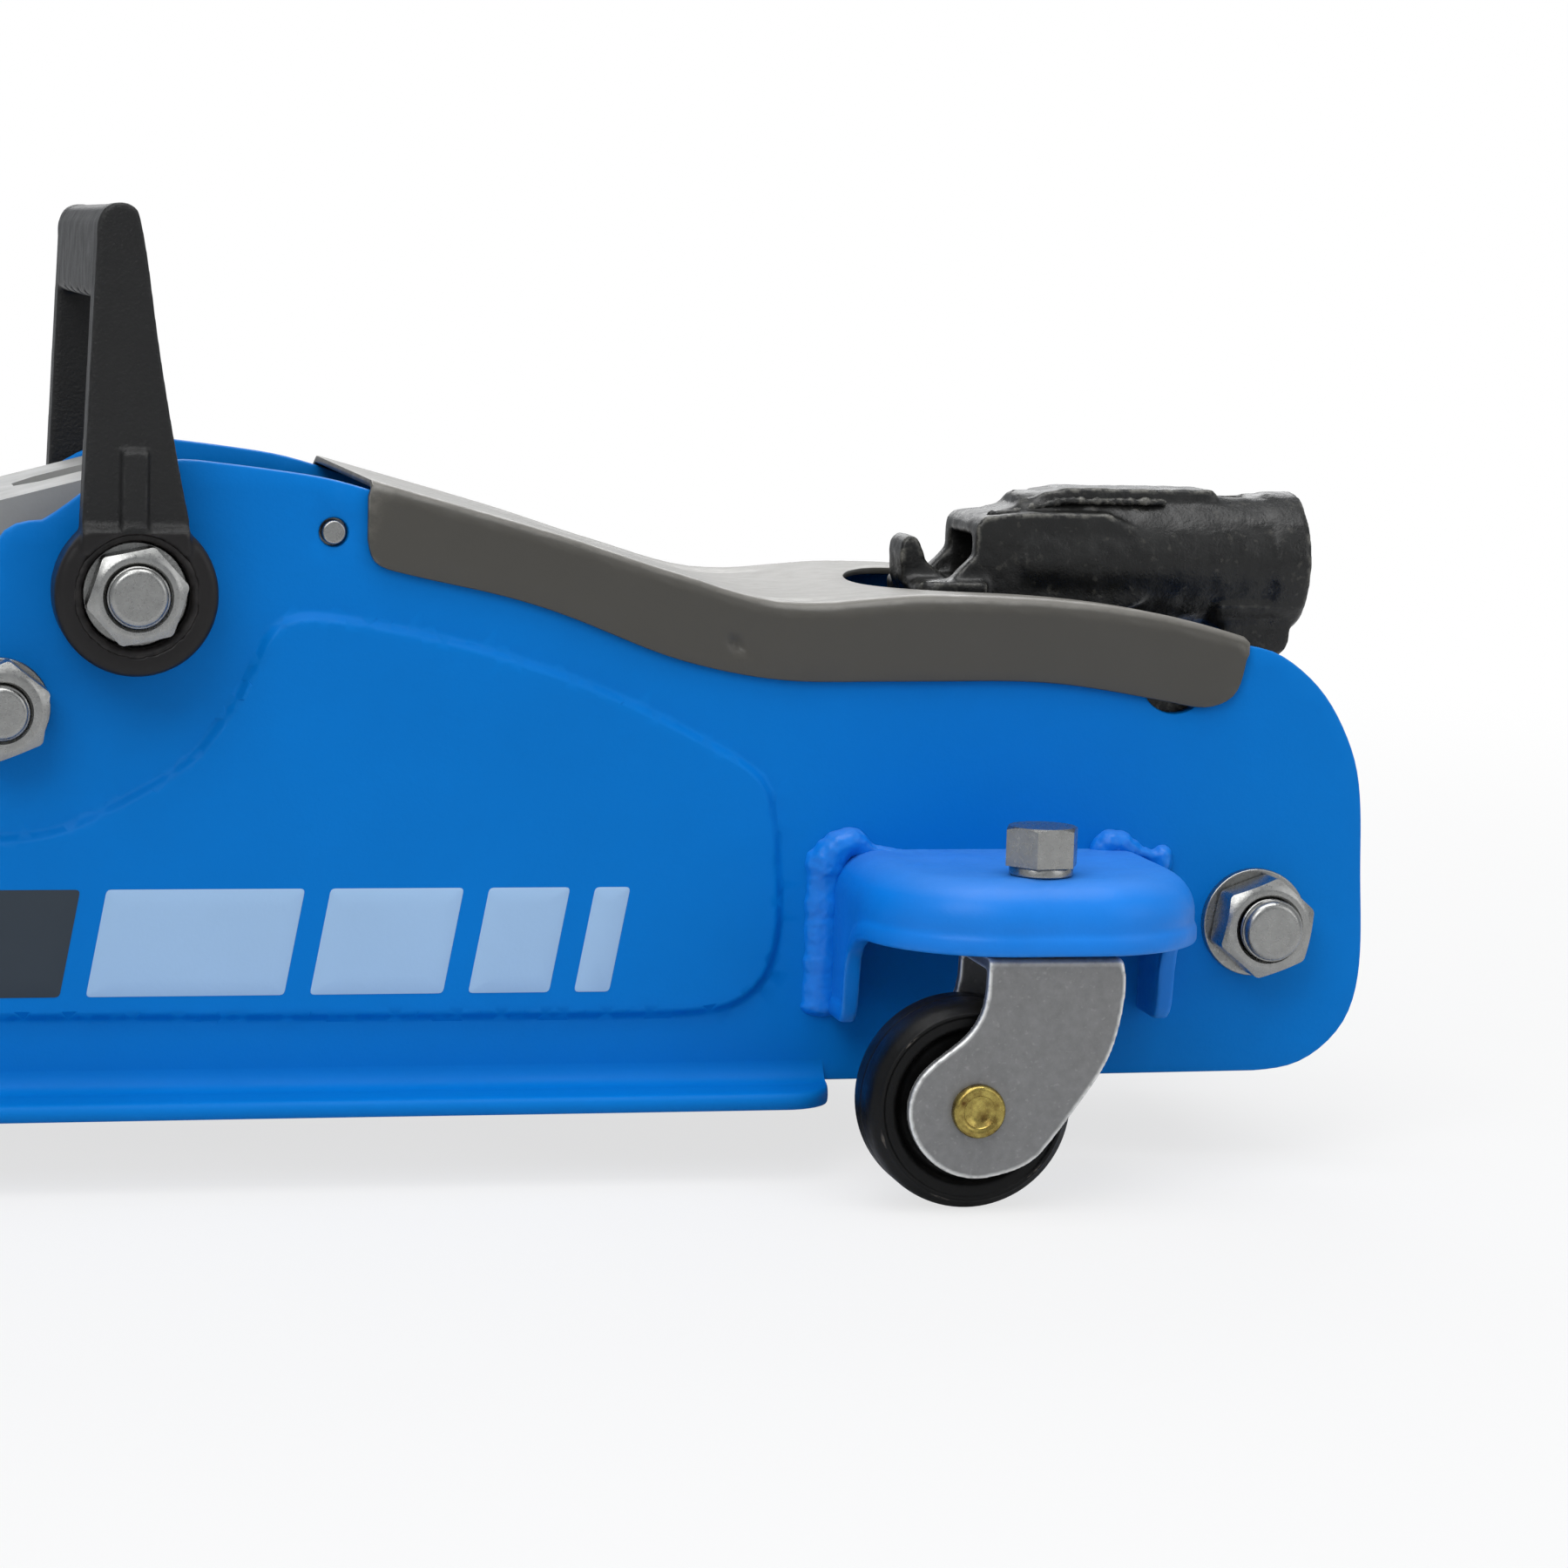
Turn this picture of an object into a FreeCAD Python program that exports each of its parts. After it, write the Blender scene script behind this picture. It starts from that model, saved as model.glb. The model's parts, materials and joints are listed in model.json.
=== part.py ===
import FreeCAD, Part
import math
import os

# Low-profile hydraulic trolley jack, millimetres. +X to the rear (handle end), +Z up, +Y to the far side.
# Stations are set out from the lift arm's pivot axis (x = 0), the frame's middle plane (y = 0) and the floor (z = 0);
# write() then moves every piece by SHIFT_X so that the origin is the middle of the footprint, on the floor.

V = FreeCAD.Vector
os.makedirs("parts", exist_ok=True)

# ---------------------------------------------------------------- driving dimensions
SHIFT_X = -0.6
PLATE_OUT = 46.0          # outer face of a side plate, from the middle plane
PLATE_T = 3.5
PLATE_IN = PLATE_OUT - PLATE_T
FLANGE_OUT = 60.0         # outer edge of the bottom flange
FLANGE_Z = 14.0
PX, PZ = 0.0, 114.5       # lift arm pivot
QX, QZ = -24.6, 91.8      # tie rod rear pivot
ARM_L = 215.0
ARM_DOWN = 15.0           # arm slopes down to the front by this many degrees at rest
ARM_SWING = 67.0
ARM_W = 33.0              # outer half width of the arm at its rear
ARM_WF = 19.0             # outer half width of the arm at its front
ARM_T = 3.5
LEVER_R = 42.0            # arm pivot to lever pin
RAM_Z = 76.0
RAM_STROKE = 46.4
CYL_Z = 76.0
FAXX, FAXZ = -212.0, 25.0 # front axle
FWHEEL_R = 25.0
RBX, RBZ = 227.4, 49.0    # rear tie bolt
HX, HZ = 186.0, 101.0     # handle socket pivot
STX, STZ = 209.0, 98.5    # socket stop pin
TUBE_Z = 119.5
TUBE_R = 14.0
BORE_R = 11.0
SOCKET_SWING = 72.0
CAM_R = 12.0
SWX, SWY = 171.7, 81.5    # caster swivel axis
CWX = 157.5               # caster wheel centre
CW_R = 20.3
SAD_X = -222.0

a = math.radians(ARM_DOWN)
DX, DZ = -math.cos(a), -math.sin(a)      # along the arm, to the front
NX, NZ = -math.sin(a), math.cos(a)       # square to the arm, up
SX, SZ = PX + ARM_L * DX, PZ + ARM_L * DZ
TX, TZ = SX + QX - PX, SZ + QZ - PZ
lev = math.radians(ARM_SWING / 2)
LX, LZ = PX + LEVER_R * math.sin(lev), PZ - LEVER_R * math.cos(lev)
cam = math.radians(SOCKET_SWING / 2)
CX, CZ = HX + CAM_R * math.cos(cam), HZ - CAM_R * math.sin(cam)
PUMP_X = HX + CAM_R * (1 + math.cos(cam)) / 2
ROLLER_R = 6.5


# ---------------------------------------------------------------- helpers
def uv(u, v):
    return (PX + u * DX + v * NX, PZ + u * DZ + v * NZ)


def ycyl(x, z, y0, y1, r):
    return Part.makeCylinder(r, y1 - y0, V(x, y0, z), V(0, 1, 0))


def xcyl(y, z, x0, x1, r):
    return Part.makeCylinder(r, x1 - x0, V(x0, y, z), V(1, 0, 0))


def zcyl(x, y, z0, z1, r):
    return Part.makeCylinder(r, z1 - z0, V(x, y, z0), V(0, 0, 1))


def box(x0, x1, y0, y1, z0, z1):
    return Part.makeBox(x1 - x0, y1 - y0, z1 - z0, V(x0, y0, z0))


def prism(pts, y0, y1):
    w = Part.makePolygon([V(x, y0, z) for x, z in pts] + [V(pts[0][0], y0, pts[0][1])])
    return Part.Face(w).extrude(V(0, y1 - y0, 0))


def plan(pts, z0, z1):
    w = Part.makePolygon([V(x, y, z0) for x, y in pts] + [V(pts[0][0], pts[0][1], z0)])
    return Part.Face(w).extrude(V(0, 0, z1 - z0))


def outline_wire(segs, y):
    edges = []
    for kind, pts in segs:
        p = [V(x, y, z) for x, z in pts]
        if kind == "s":
            c = Part.BSplineCurve()
            c.interpolate(p)
            edges.append(c.toShape())
        else:
            for q, r in zip(p[:-1], p[1:]):
                edges.append(Part.LineSegment(q, r).toShape())
    return Part.Wire(Part.__sortEdges__(edges))


def outline(segs, y0, y1):
    return Part.Face(outline_wire(segs, y0)).extrude(V(0, y1 - y0, 0))


def link(ax, az, ra, bx, bz, rb, y0, y1):
    d = math.hypot(bx - ax, bz - az)
    th = math.atan2(bz - az, bx - ax)
    ph = math.acos((ra - rb) / d)
    q = []
    for s in (1, -1):
        q.append((ax + ra * math.cos(th + s * ph), az + ra * math.sin(th + s * ph)))
        q.append((bx + rb * math.cos(th + s * ph), bz + rb * math.sin(th + s * ph)))
    body = prism([q[0], q[1], q[3], q[2]], y0, y1)
    return body.fuse([ycyl(ax, az, y0, y1, ra), ycyl(bx, bz, y0, y1, rb)]).removeSplitter()


def hexprism(c, axis, af, h, turn=0.0, bevel=(True, True)):
    # axis is "y" or "z"; c is the centre of the low face
    r = af / math.sqrt(3)
    pts = []
    for i in range(6):
        t = math.radians(60 * i + turn)
        if axis == "y":
            pts.append(V(c[0] + r * math.cos(t), c[1], c[2] + r * math.sin(t)))
        elif axis == "z":
            pts.append(V(c[0] + r * math.cos(t), c[1] + r * math.sin(t), c[2]))
        else:
            pts.append(V(c[0], c[1] + r * math.cos(t), c[2] + r * math.sin(t)))
    d = {"y": V(0, 1, 0), "z": V(0, 0, 1), "x": V(1, 0, 0)}[axis]
    s = Part.Face(Part.makePolygon(pts + [pts[0]])).extrude(d * h)
    k = (r - af / 2) * 0.62
    o = V(*c)
    rb = af / 2 * 0.985
    if bevel[1]:
        s = s.common(Part.makeCone(rb + (h + 0.0) * (r - rb) / k, rb, h, o, d).fuse(Part.makeCylinder(0.1, h, o, d)))
    if bevel[0]:
        s = s.common(Part.makeCone(rb, rb + h * (r - rb) / k, h, o, d).fuse(Part.makeCylinder(0.1, h, o, d)))
    return s


def revolve(pts, centre, axis):
    # pts are (radius, distance along the axis)
    cx, cy, cz = centre
    if axis == "y":
        p = [V(cx + r, cy + t, cz) for r, t in pts]
        d = V(0, 1, 0)
    elif axis == "z":
        p = [V(cx + r, cy, cz + t) for r, t in pts]
        d = V(0, 0, 1)
    else:
        p = [V(cx + t, cy, cz + r) for r, t in pts]
        d = V(1, 0, 0)
    f = Part.Face(Part.makePolygon(p + [p[0]]))
    return f.revolve(V(cx, cy, cz), d, 360)


def mirror(s):
    return s.mirror(V(0, 0, 0), V(0, 1, 0))


def fillet(s, r, pick, what=""):
    e = [k for k in s.Edges if pick(k)]
    if not e:
        print("no edges to round:", what)
        return s
    try:
        t = s.makeFillet(r, e)
        if t.isValid() and t.Volume > 0:
            return t
    except Exception:
        pass
    print("rounding left out:", what)
    return s


def near(k, x=None, y=None, z=None, tol=0.05):
    b = k.BoundBox
    ok = True
    if x is not None:
        ok = ok and abs(b.XMin - x) < tol and abs(b.XMax - x) < tol
    if y is not None:
        ok = ok and abs(b.YMin - y) < tol and abs(b.YMax - y) < tol
    if z is not None:
        ok = ok and abs(b.ZMin - z) < tol and abs(b.ZMax - z) < tol
    return ok


def offset(pts, d):
    # moves a closed outline inwards by d (positive) whichever way round it runs
    n = len(pts)
    area = sum(pts[i][0] * pts[(i + 1) % n][1] - pts[(i + 1) % n][0] * pts[i][1] for i in range(n)) / 2
    s = 1 if area > 0 else -1
    out = []
    for i in range(n):
        p, q, r = pts[i - 1], pts[i], pts[(i + 1) % n]
        e1 = (q[0] - p[0], q[1] - p[1])
        e2 = (r[0] - q[0], r[1] - q[1])
        l1, l2 = math.hypot(*e1), math.hypot(*e2)
        n1 = (-e1[1] / l1 * s, e1[0] / l1 * s)
        n2 = (-e2[1] / l2 * s, e2[0] / l2 * s)
        m = (n1[0] + n2[0], n1[1] + n2[1])
        k = 2 / max(m[0] ** 2 + m[1] ** 2, 1.2)
        out.append((q[0] + m[0] * k * d, q[1] + m[1] * k * d))
    return out


total = {}


def write(name, shape):
    solids = [s for s in shape.Solids]
    shape = solids[0] if len(solids) == 1 else Part.makeCompound(solids)
    shape = shape.copy()
    shape.translate(V(SHIFT_X, 0, 0))
    if not shape.isValid():
        print("not valid:", name)
    if shape.Volume <= 0:
        print("no volume:", name)
    shape.exportStep("parts/%s.step" % name)
    total[name] = (len(solids), shape.Volume)
    return shape.BoundBox


boxes = []


def group(*s):
    return Part.makeCompound(list(s))


# ---------------------------------------------------------------- side plates
TOP = [(14.5, 139.0), (21.1, 138.3), (31.1, 137.1), (38.0, 136.0), (45.0, 134.2)]
UNDER_COVER = [(45.0, 134.2), (61.2, 129.4), (74.9, 125.7), (88.7, 121.7), (99.1, 118.4), (109.6, 115.3), (120.2, 112.2),
               (127.2, 110.9), (137.8, 110.9), (153.7, 112.3), (166.2, 112.4), (180.7, 111.9), (195.2, 110.6),
               (206.2, 108.9), (217.4, 106.3), (224.7, 105.2)]
PLATE = [
    ("s", [(-16.7, 127.4), (-13.3, 129.6), (-9.7, 132.4), (-5.0, 135.4), (0.0, 137.6), (6.0, 138.9), (9.7, 139.3)] + TOP),
    ("s", UNDER_COVER),
    ("s", [(224.7, 105.2), (229.2, 104.3), (234.9, 101.2), (240.7, 95.9), (245.8, 87.9), (248.6, 80.7), (249.8, 73.6),
           (250.5, 59.2), (251.2, 46.0), (250.9, 36.7), (248.5, 28.4), (244.1, 23.0), (238.0, 19.3), (229.2, 17.9)]),
    ("l", [(229.2, 17.9), (141.0, 17.4), (138.2, 14.0), (-182.0, 14.0)]),
    ("s", [(-182.0, 14.0), (-190.0, 12.6), (-198.0, 9.2), (-205.0, 6.9), (-213.0, 6.4), (-221.0, 8.2), (-227.5, 13.2),
           (-231.2, 20.6), (-231.6, 28.6), (-228.6, 36.4), (-222.4, 42.4), (-214.0, 45.8)]),
    ("s", [(-214.0, 45.8), (-200.0, 49.5), (-180.0, 56.0), (-150.0, 65.6), (-120.0, 74.6), (-90.0, 83.2), (-66.0, 90.2),
           (-50.0, 95.6), (-40.0, 100.8), (-33.0, 107.2), (-28.6, 114.4), (-26.2, 120.6), (-24.2, 124.8), (-21.6, 126.6),
           (-16.7, 127.4)]),
]
PANEL = [(-24.3, 67.5), (-14.5, 68.8), (-4.6, 73), (3.6, 77.5), (11, 82.6), (16.0, 88.6), (20.2, 95.0), (23.0, 100.8),
         (24.6, 105), (27.5, 108.6), (32.3, 110.4), (41.6, 109.8), (55.1, 107.4), (68.8, 104.1), (82.6, 99.8), (96.6, 94.4),
         (110.7, 87.5), (119.6, 82.7), (125.1, 78), (127.4, 71.0), (128.6, 59.7), (128.9, 49.2), (127.4, 40.8),
         (123.6, 35.0), (117.5, 31.8), (109.0, 30.8), (80.0, 30.6), (40.0, 30.8), (0.0, 31.2), (-40.0, 31.4), (-80.0, 31.4),
         (-108.0, 31.6), (-121.0, 32.8), (-128.0, 36.4), (-130.0, 41.2), (-127.6, 46.2), (-120.0, 50.4), (-107.0, 55.4),
         (-88.0, 60.8), (-68.0, 65.0), (-50.0, 67.2), (-36.0, 67.6)]
PANEL_H = 1.8


def pad(pts, y0, y1, inset):
    a0 = Part.makePolygon([V(x, y0, z) for x, z in pts] + [V(pts[0][0], y0, pts[0][1])])
    q = offset(pts, inset)
    a1 = Part.makePolygon([V(x, y1, z) for x, z in q] + [V(q[0][0], y1, q[0][1])])
    return Part.makeLoft([a0, a1], True, True)


def side_plate():
    s = outline(PLATE, -PLATE_OUT, -PLATE_IN)
    fl = box(-182.0, 138.2, -FLANGE_OUT, -PLATE_IN, FLANGE_Z, FLANGE_Z + PLATE_T)
    fl = fillet(fl, 10.0, lambda k: near(k, y=-FLANGE_OUT) and near(k, x=138.2), "flange rear corner")
    fl = fillet(fl, 10.0, lambda k: near(k, y=-FLANGE_OUT) and near(k, x=-182.0), "flange front corner")
    fl = fillet(fl, 1.0, lambda k: near(k, y=-FLANGE_OUT), "flange lip")
    s = s.fuse(fl).removeSplitter()
    s = fillet(s, 3.0, lambda k: near(k, y=-PLATE_OUT, z=FLANGE_Z + PLATE_T), "flange root")
    s = s.fuse(pad(PANEL, -PLATE_OUT + 0.01, -PLATE_OUT - PANEL_H, 2.6))
    s = s.cut(pad(offset(PANEL, 1.6), -PLATE_IN + 0.01, -PLATE_IN - PANEL_H, 2.0))
    for x, z, r in ((PX, PZ, 8.1), (QX, QZ, 5.1), (RBX, RBZ, 6.2), (38.5, 125.9, 2.75), (HX, HZ, 5.1), (STX, STZ, 7.0),
                    (FAXX, FAXZ, 6.1), (-150.0, 27.5, 5.1)):
        s = s.cut(ycyl(x, z, -PLATE_OUT - 5, -PLATE_IN + 5, r))
    return s


plate = side_plate()
boxes.append(write("side_plate_near", plate))
boxes.append(write("side_plate_far", mirror(plate)))

# ---------------------------------------------------------------- cover
COVER_TOP = [(45.7, 136.1), (61.2, 131.9), (74.9, 128.2), (88.7, 124.2), (99.1, 120.9), (109.6, 117.8), (120.2, 114.7),
             (128.0, 113.4), (137.8, 113.4), (153.7, 114.8), (166.2, 114.9), (180.7, 114.4), (195.2, 113.1), (206.2, 111.4),
             (217.4, 108.8), (224.1, 106.9)]
COVER_LOW = [(224.1, 106.9), (222.9, 99.6), (221.2, 95.4), (216.2, 92.9), (208.8, 93.6), (195.9, 95.9), (181.3, 97.7),
             (163.2, 97.9), (145.4, 97.7), (127.7, 97.9), (115.3, 99.6), (103.1, 102.8), (92.6, 106.8), (82.1, 110.8),
             (68.4, 114.6), (58.1, 116.7), (50.4, 118.4), (46.4, 120.2), (44.9, 124.6), (45.7, 136.1)]
COVER_T = 1.5
COVER_OUT = PLATE_OUT + 0.25 + COVER_T


def shifted(pts, d):
    out = []
    for i, (x, z) in enumerate(pts):
        p = pts[max(i - 1, 0)]
        q = pts[min(i + 1, len(pts) - 1)]
        l = math.hypot(q[0] - p[0], q[1] - p[1])
        out.append((x - (q[1] - p[1]) / l * d, z + (q[0] - p[0]) / l * d))
    return out


def cover():
    low = shifted(COVER_TOP, -COVER_T)
    top = outline([("s", COVER_TOP), ("l", [COVER_TOP[-1], low[-1]]), ("s", low[::-1]), ("l", [low[0], COVER_TOP[0]])],
                  -COVER_OUT, COVER_OUT)
    cut = Part.makeBox(120, 64, 80, V(153, -32, 80))
    nose = zcyl(164, 0, 80, 160, 32.0).common(box(147.5, 175, -32, 32, 80, 160))
    top = top.cut(cut.cut(box(150, 164, -40, 40, 70, 170)).fuse(nose))
    walls = []
    for y0, y1 in ((-COVER_OUT, -COVER_OUT + COVER_T), (COVER_OUT - COVER_T, COVER_OUT)):
        walls.append(outline([("s", COVER_TOP), ("s", COVER_LOW[:5]), ("s", COVER_LOW[4:-3]), ("s", COVER_LOW[-4:-1]),
                              ("l", COVER_LOW[-2:])], y0, y1))
    s = top.fuse(walls)
    s = s.removeSplitter()
    r = fillet(s, 1.4, lambda k: (near(k, y=COVER_OUT) or near(k, y=-COVER_OUT)) and k.BoundBox.XLength > 150 and
               k.BoundBox.ZMax > 130, "cover bend")
    return r


boxes.append(write("cover_plate", cover()))


# ---------------------------------------------------------------- caster brackets
def bracket():
    x0, x1, y0 = 138.6, 206.6, 94.6
    t = 3.5
    o = box(x0, x1, -y0, -PLATE_OUT, 50.0, 64.0)
    o = fillet(o, 26.0, lambda k: near(k, y=-y0) and k.BoundBox.ZLength > 5, "bracket corners")
    o = fillet(o, 3.6, lambda k: near(k, z=64.0) and k.BoundBox.YMin < -PLATE_OUT - 0.5, "bracket top edge")
    i = box(x0 + t, x1 - t, -y0 + t, -PLATE_OUT + 1, 40.0, 64.0 - t)
    i = fillet(i, 22.5, lambda k: near(k, y=-y0 + t) and k.BoundBox.ZLength > 5, "bracket inner corners")
    s = o.cut(i)
    for a0, a1 in ((x0, x0 + t), (x1 - t, x1)):
        leg = Part.Face(Part.makePolygon([V(a0, -PLATE_OUT, 31.0), V(a0, -PLATE_OUT, 55.0), V(a0, -72.0, 55.0),
                                          V(a0, -72.0, 50.0), V(a0, -63.0, 46.4), V(a0, -60.0, 42.0), V(a0, -59.0, 33.0),
                                          V(a0, -57.0, 31.0), V(a0, -PLATE_OUT, 31.0)])).extrude(V(a1 - a0, 0, 0))
        s = s.fuse(leg)
    s = s.removeSplitter()
    s = s.cut(zcyl(SWX, -SWY, 40, 70, 4.15))
    return s


br = bracket()
boxes.append(write("caster_bracket_near", br))
boxes.append(write("caster_bracket_far", mirror(br)))


def weld_bead():
    # fillet welds: down the outside of each leg, and along the top at both corners
    b = []
    y = -PLATE_OUT
    arc = [(math.cos(math.radians(t)), math.sin(math.radians(t))) for t in range(0, 91, 15)]
    for x, s in ((138.6, -1), (206.6, 1)):
        q = [V(x, y, 32.5)] + [V(x + s * 2.6 * c, y - 2.6 * d, 32.5) for c, d in arc]
        b.append(Part.Face(Part.makePolygon(q + [q[0]])).extrude(V(0, 0, 26.5)))
        q = [V(x - s * 4.0, y, 64.0)] + [V(x - s * 4.0, y - 2.8 * c, 64.0 + 2.4 * d) for c, d in arc]
        b.append(Part.Face(Part.makePolygon(q + [q[0]])).extrude(V(-s * 10.0, 0, 0)))
    return b


beads = weld_bead()
boxes.append(write("weld_beads", group(*(beads + [mirror(b) for b in beads]))))

# ---------------------------------------------------------------- frame bolts, nuts, washers
bolt = ycyl(RBX, RBZ, -60.2, PLATE_OUT + 1.6, 6.0)
bolt = fillet(bolt, 1.4, lambda k: near(k, y=-60.2), "rear bolt end")
head = hexprism((RBX, PLATE_OUT + 1.6, RBZ), "y", 18.0, 7.5, 12, (False, True))
boxes.append(write("rear_tie_bolt", bolt.fuse(head)))


def nut(x, z, y1, y0, af, r, turn):
    # near-side nut between y0 (outer) and y1 (inner), both negative
    n = hexprism((x, y0, z), "y", af, y1 - y0, turn)
    return n.cut(ycyl(x, z, y0 - 1, y1 + 1, r + 0.02))


rear_nut = nut(RBX, RBZ, -PLATE_OUT - 1.8, -57.0, 18.0, 6.0, 20)


def washer(x, z, y0, y1, ro, ri):
    w = ycyl(x, z, y0, y1, ro).cut(ycyl(x, z, y0 - 1, y1 + 1, ri))
    return fillet(w, 0.35, lambda k: near(k, y=y0), "washer")


w = washer(RBX, RBZ, -PLATE_OUT - 1.8, -PLATE_OUT, 11.0, 6.2)
wq = washer(QX, QZ, -PLATE_OUT - 1.6, -PLATE_OUT, 9.6, 5.2)
wf = washer(-150.0, 27.5, -PLATE_OUT - PANEL_H - 1.6 + 1.8, -PLATE_OUT, 9.6, 5.2)
wr = ycyl(RBX, RBZ, PLATE_OUT, PLATE_OUT + 1.6, 11.0).cut(ycyl(RBX, RBZ, PLATE_OUT - 1, PLATE_OUT + 3, 6.2))
FRAME_WASHERS = [w, wr, wq, mirror(wq), wf, mirror(wf)]

fb = ycyl(-150.0, 27.5, -56.0, PLATE_OUT + 1.6, 5.0)
fb = fb.fuse(hexprism((-150.0, PLATE_OUT + 1.6, 27.5), "y", 16.0, 6.5, 5, (False, True)))
boxes.append(write("front_spacer_bolt", fb))
spacer_nut = nut(-150.0, 27.5, -PLATE_OUT - 1.6, -54.4, 16.0, 5.0, 8)
sp = ycyl(-150.0, 27.5, -PLATE_IN + 0.02, PLATE_IN - 0.02, 8.0).cut(ycyl(-150.0, 27.5, -50, 50, 5.1))
boxes.append(write("front_spacer_tube", sp))

# tie rod pivot studs: a flat head inside the rod, shank through the plate, nut outside
ROD_IN, ROD_OUT = 35.5, 40.5
st = ycyl(QX, QZ, -57.6, -ROD_IN + 0.1, 5.0).fuse(ycyl(QX, QZ, -ROD_IN + 0.1, -ROD_IN + 1.9, 8.0))
st = st.fuse(ycyl(QX, QZ, -PLATE_IN + 0.02, -ROD_OUT - 0.15, 7.5))
st = fillet(st, 1.0, lambda k: near(k, y=-57.6), "stud end")
boxes.append(write("tie_rod_studs", group(st, mirror(st))))
nq = nut(QX, QZ, -PLATE_OUT - 1.6, -55.8, 17.0, 5.0, 22)
boxes.append(write("frame_nuts", group(rear_nut, spacer_nut, nq, mirror(nq))))

# ---------------------------------------------------------------- lift arm shaft and carry handle hub fasteners
shaft = ycyl(PX, PZ, -PLATE_OUT - 0.3, PLATE_OUT + 0.3, 8.0).fuse([ycyl(PX, PZ, -66.2, -PLATE_OUT, 5.6), ycyl(PX, PZ, PLATE_OUT, 66.2, 5.6)])
shaft = fillet(shaft, 1.2, lambda k: near(k, y=-66.2) or near(k, y=66.2), "shaft ends")
boxes.append(write("lift_arm_shaft", shaft))
HUB_IN, HUB_OUT, SEAT = 48.6, 61.2, 55.4
np_ = nut(PX, PZ, -SEAT - 1.5, -64.4, 17.0, 5.6, 12)
boxes.append(write("shaft_nuts", group(np_, mirror(np_))))
w1 = washer(PX, PZ, -SEAT - 1.5, -SEAT, 10.0, 5.75)
w2 = ycyl(PX, PZ, -HUB_IN + 0.15, -PLATE_OUT - 0.3, 13.0).cut(ycyl(PX, PZ, -60, -40, 5.75))
boxes.append(write("washers", group(*(FRAME_WASHERS + [w1, mirror(w1), w2, mirror(w2)]))))

pin = ycyl(38.5, 125.9, -PLATE_OUT - 0.7, PLATE_OUT + 0.7, 2.3)
pin = fillet(pin, 0.5, lambda k: near(k, y=-PLATE_OUT - 0.7) or near(k, y=PLATE_OUT + 0.7), "anchor pin ends")
for s in (-1, 1):
    pin = pin.fuse(ycyl(38.5, 125.9, min(s * 42.3, s * 40.9), max(s * 42.3, s * 40.9), 4.0))
boxes.append(write("spring_anchor_pin", pin))

# ---------------------------------------------------------------- hydraulic unit
base = xcyl(0, CYL_Z, 143.0, 151.4, 32.0)
blk = box(143.0, 238.0, -30.0, 30.0, 40.0, 62.0)
blk = fillet(blk, 5.0, lambda k: k.BoundBox.XLength > 60, "base long edges")
blk = fillet(blk, 6.0, lambda k: near(k, x=238.0) and k.BoundBox.ZLength > 5, "base rear corners")
lug = box(209.0, 237.0, -14.0, 14.0, 55.0, 80.0)
lug = fillet(lug, 6.0, lambda k: near(k, z=80.0) and k.BoundBox.XLength > 5, "valve lug top")
base = base.fuse([blk, lug, zcyl(PUMP_X, 0, 60.0, 66.4, 13.0), ycyl(RBX, RBZ, -PLATE_IN + 0.05, PLATE_IN - 0.05, 11.0)])
rib = prism([(151.0, 60.0), (151.0, 96.0), (164.0, 60.0)], -3.0, 3.0)
base = base.fuse([rib.translated(V(0, -26.5, 0)), rib.translated(V(0, 26.5, 0))]).removeSplitter()
base = base.cut(ycyl(RBX, RBZ, -60, 60, 6.2))
base = base.cut(zcyl(PUMP_X, 0, 46.0, 70.0, 7.5))
base = base.cut(xcyl(0, 71.0, 214.0, 250.0, 5.1))
base = base.cut(xcyl(0, CYL_Z, 130.0, 146.0, 17.1))
base = base.cut(zcyl(176.0, -20.0, 52.0, 70.0, 5.0))
boxes.append(write("power_unit_base", base))
cyl = xcyl(0, CYL_Z, 70.0, 146.0, 17.0).cut(xcyl(0, CYL_Z, 60.0, 142.0, 13.1))
boxes.append(write("cylinder_tube", cyl))
res = xcyl(0, CYL_Z, 70.0, 143.0, 28.0).cut(xcyl(0, CYL_Z, 60.0, 150.0, 26.0))
res = res.cut(zcyl(104.0, 0, CYL_Z + 20, CYL_Z + 40, 4.6))
boxes.append(write("reservoir_tube", res))
cap = xcyl(0, CYL_Z, 60.0, 70.0, 29.5).fuse(xcyl(0, CYL_Z, 55.0, 60.0, 18.0))
cap = fillet(cap, 1.5, lambda k: near(k, x=60.0) or near(k, x=55.0), "cap edges")
cap = cap.cut(xcyl(0, CYL_Z, 40.0, 80.0, 10.15))
boxes.append(write("reservoir_front_cap", cap))
plug = zcyl(104.0, 0, CYL_Z + 21.0, CYL_Z + 28.2, 4.5).fuse(zcyl(104.0, 0, CYL_Z + 28.2, CYL_Z + 31.0, 7.0))
plug = fillet(plug, 1.0, lambda k: near(k, z=CYL_Z + 31.0), "filler plug")
boxes.append(write("oil_filler_plug", plug))
gland = revolve([(5.1, 46.0), (7.4, 46.0), (7.4, 76.0), (6.6, 77.0), (5.1, 77.0)], (PUMP_X, 0, 0), "z")
boxes.append(write("pump_gland", gland))
rv = zcyl(176.0, -20.0, 52.0, 62.0, 4.9).fuse(hexprism((176.0, -20.0, 62.0), "z", 12.0, 5.0, 10, (False, True)))
boxes.append(write("relief_valve_plug", rv))

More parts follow.
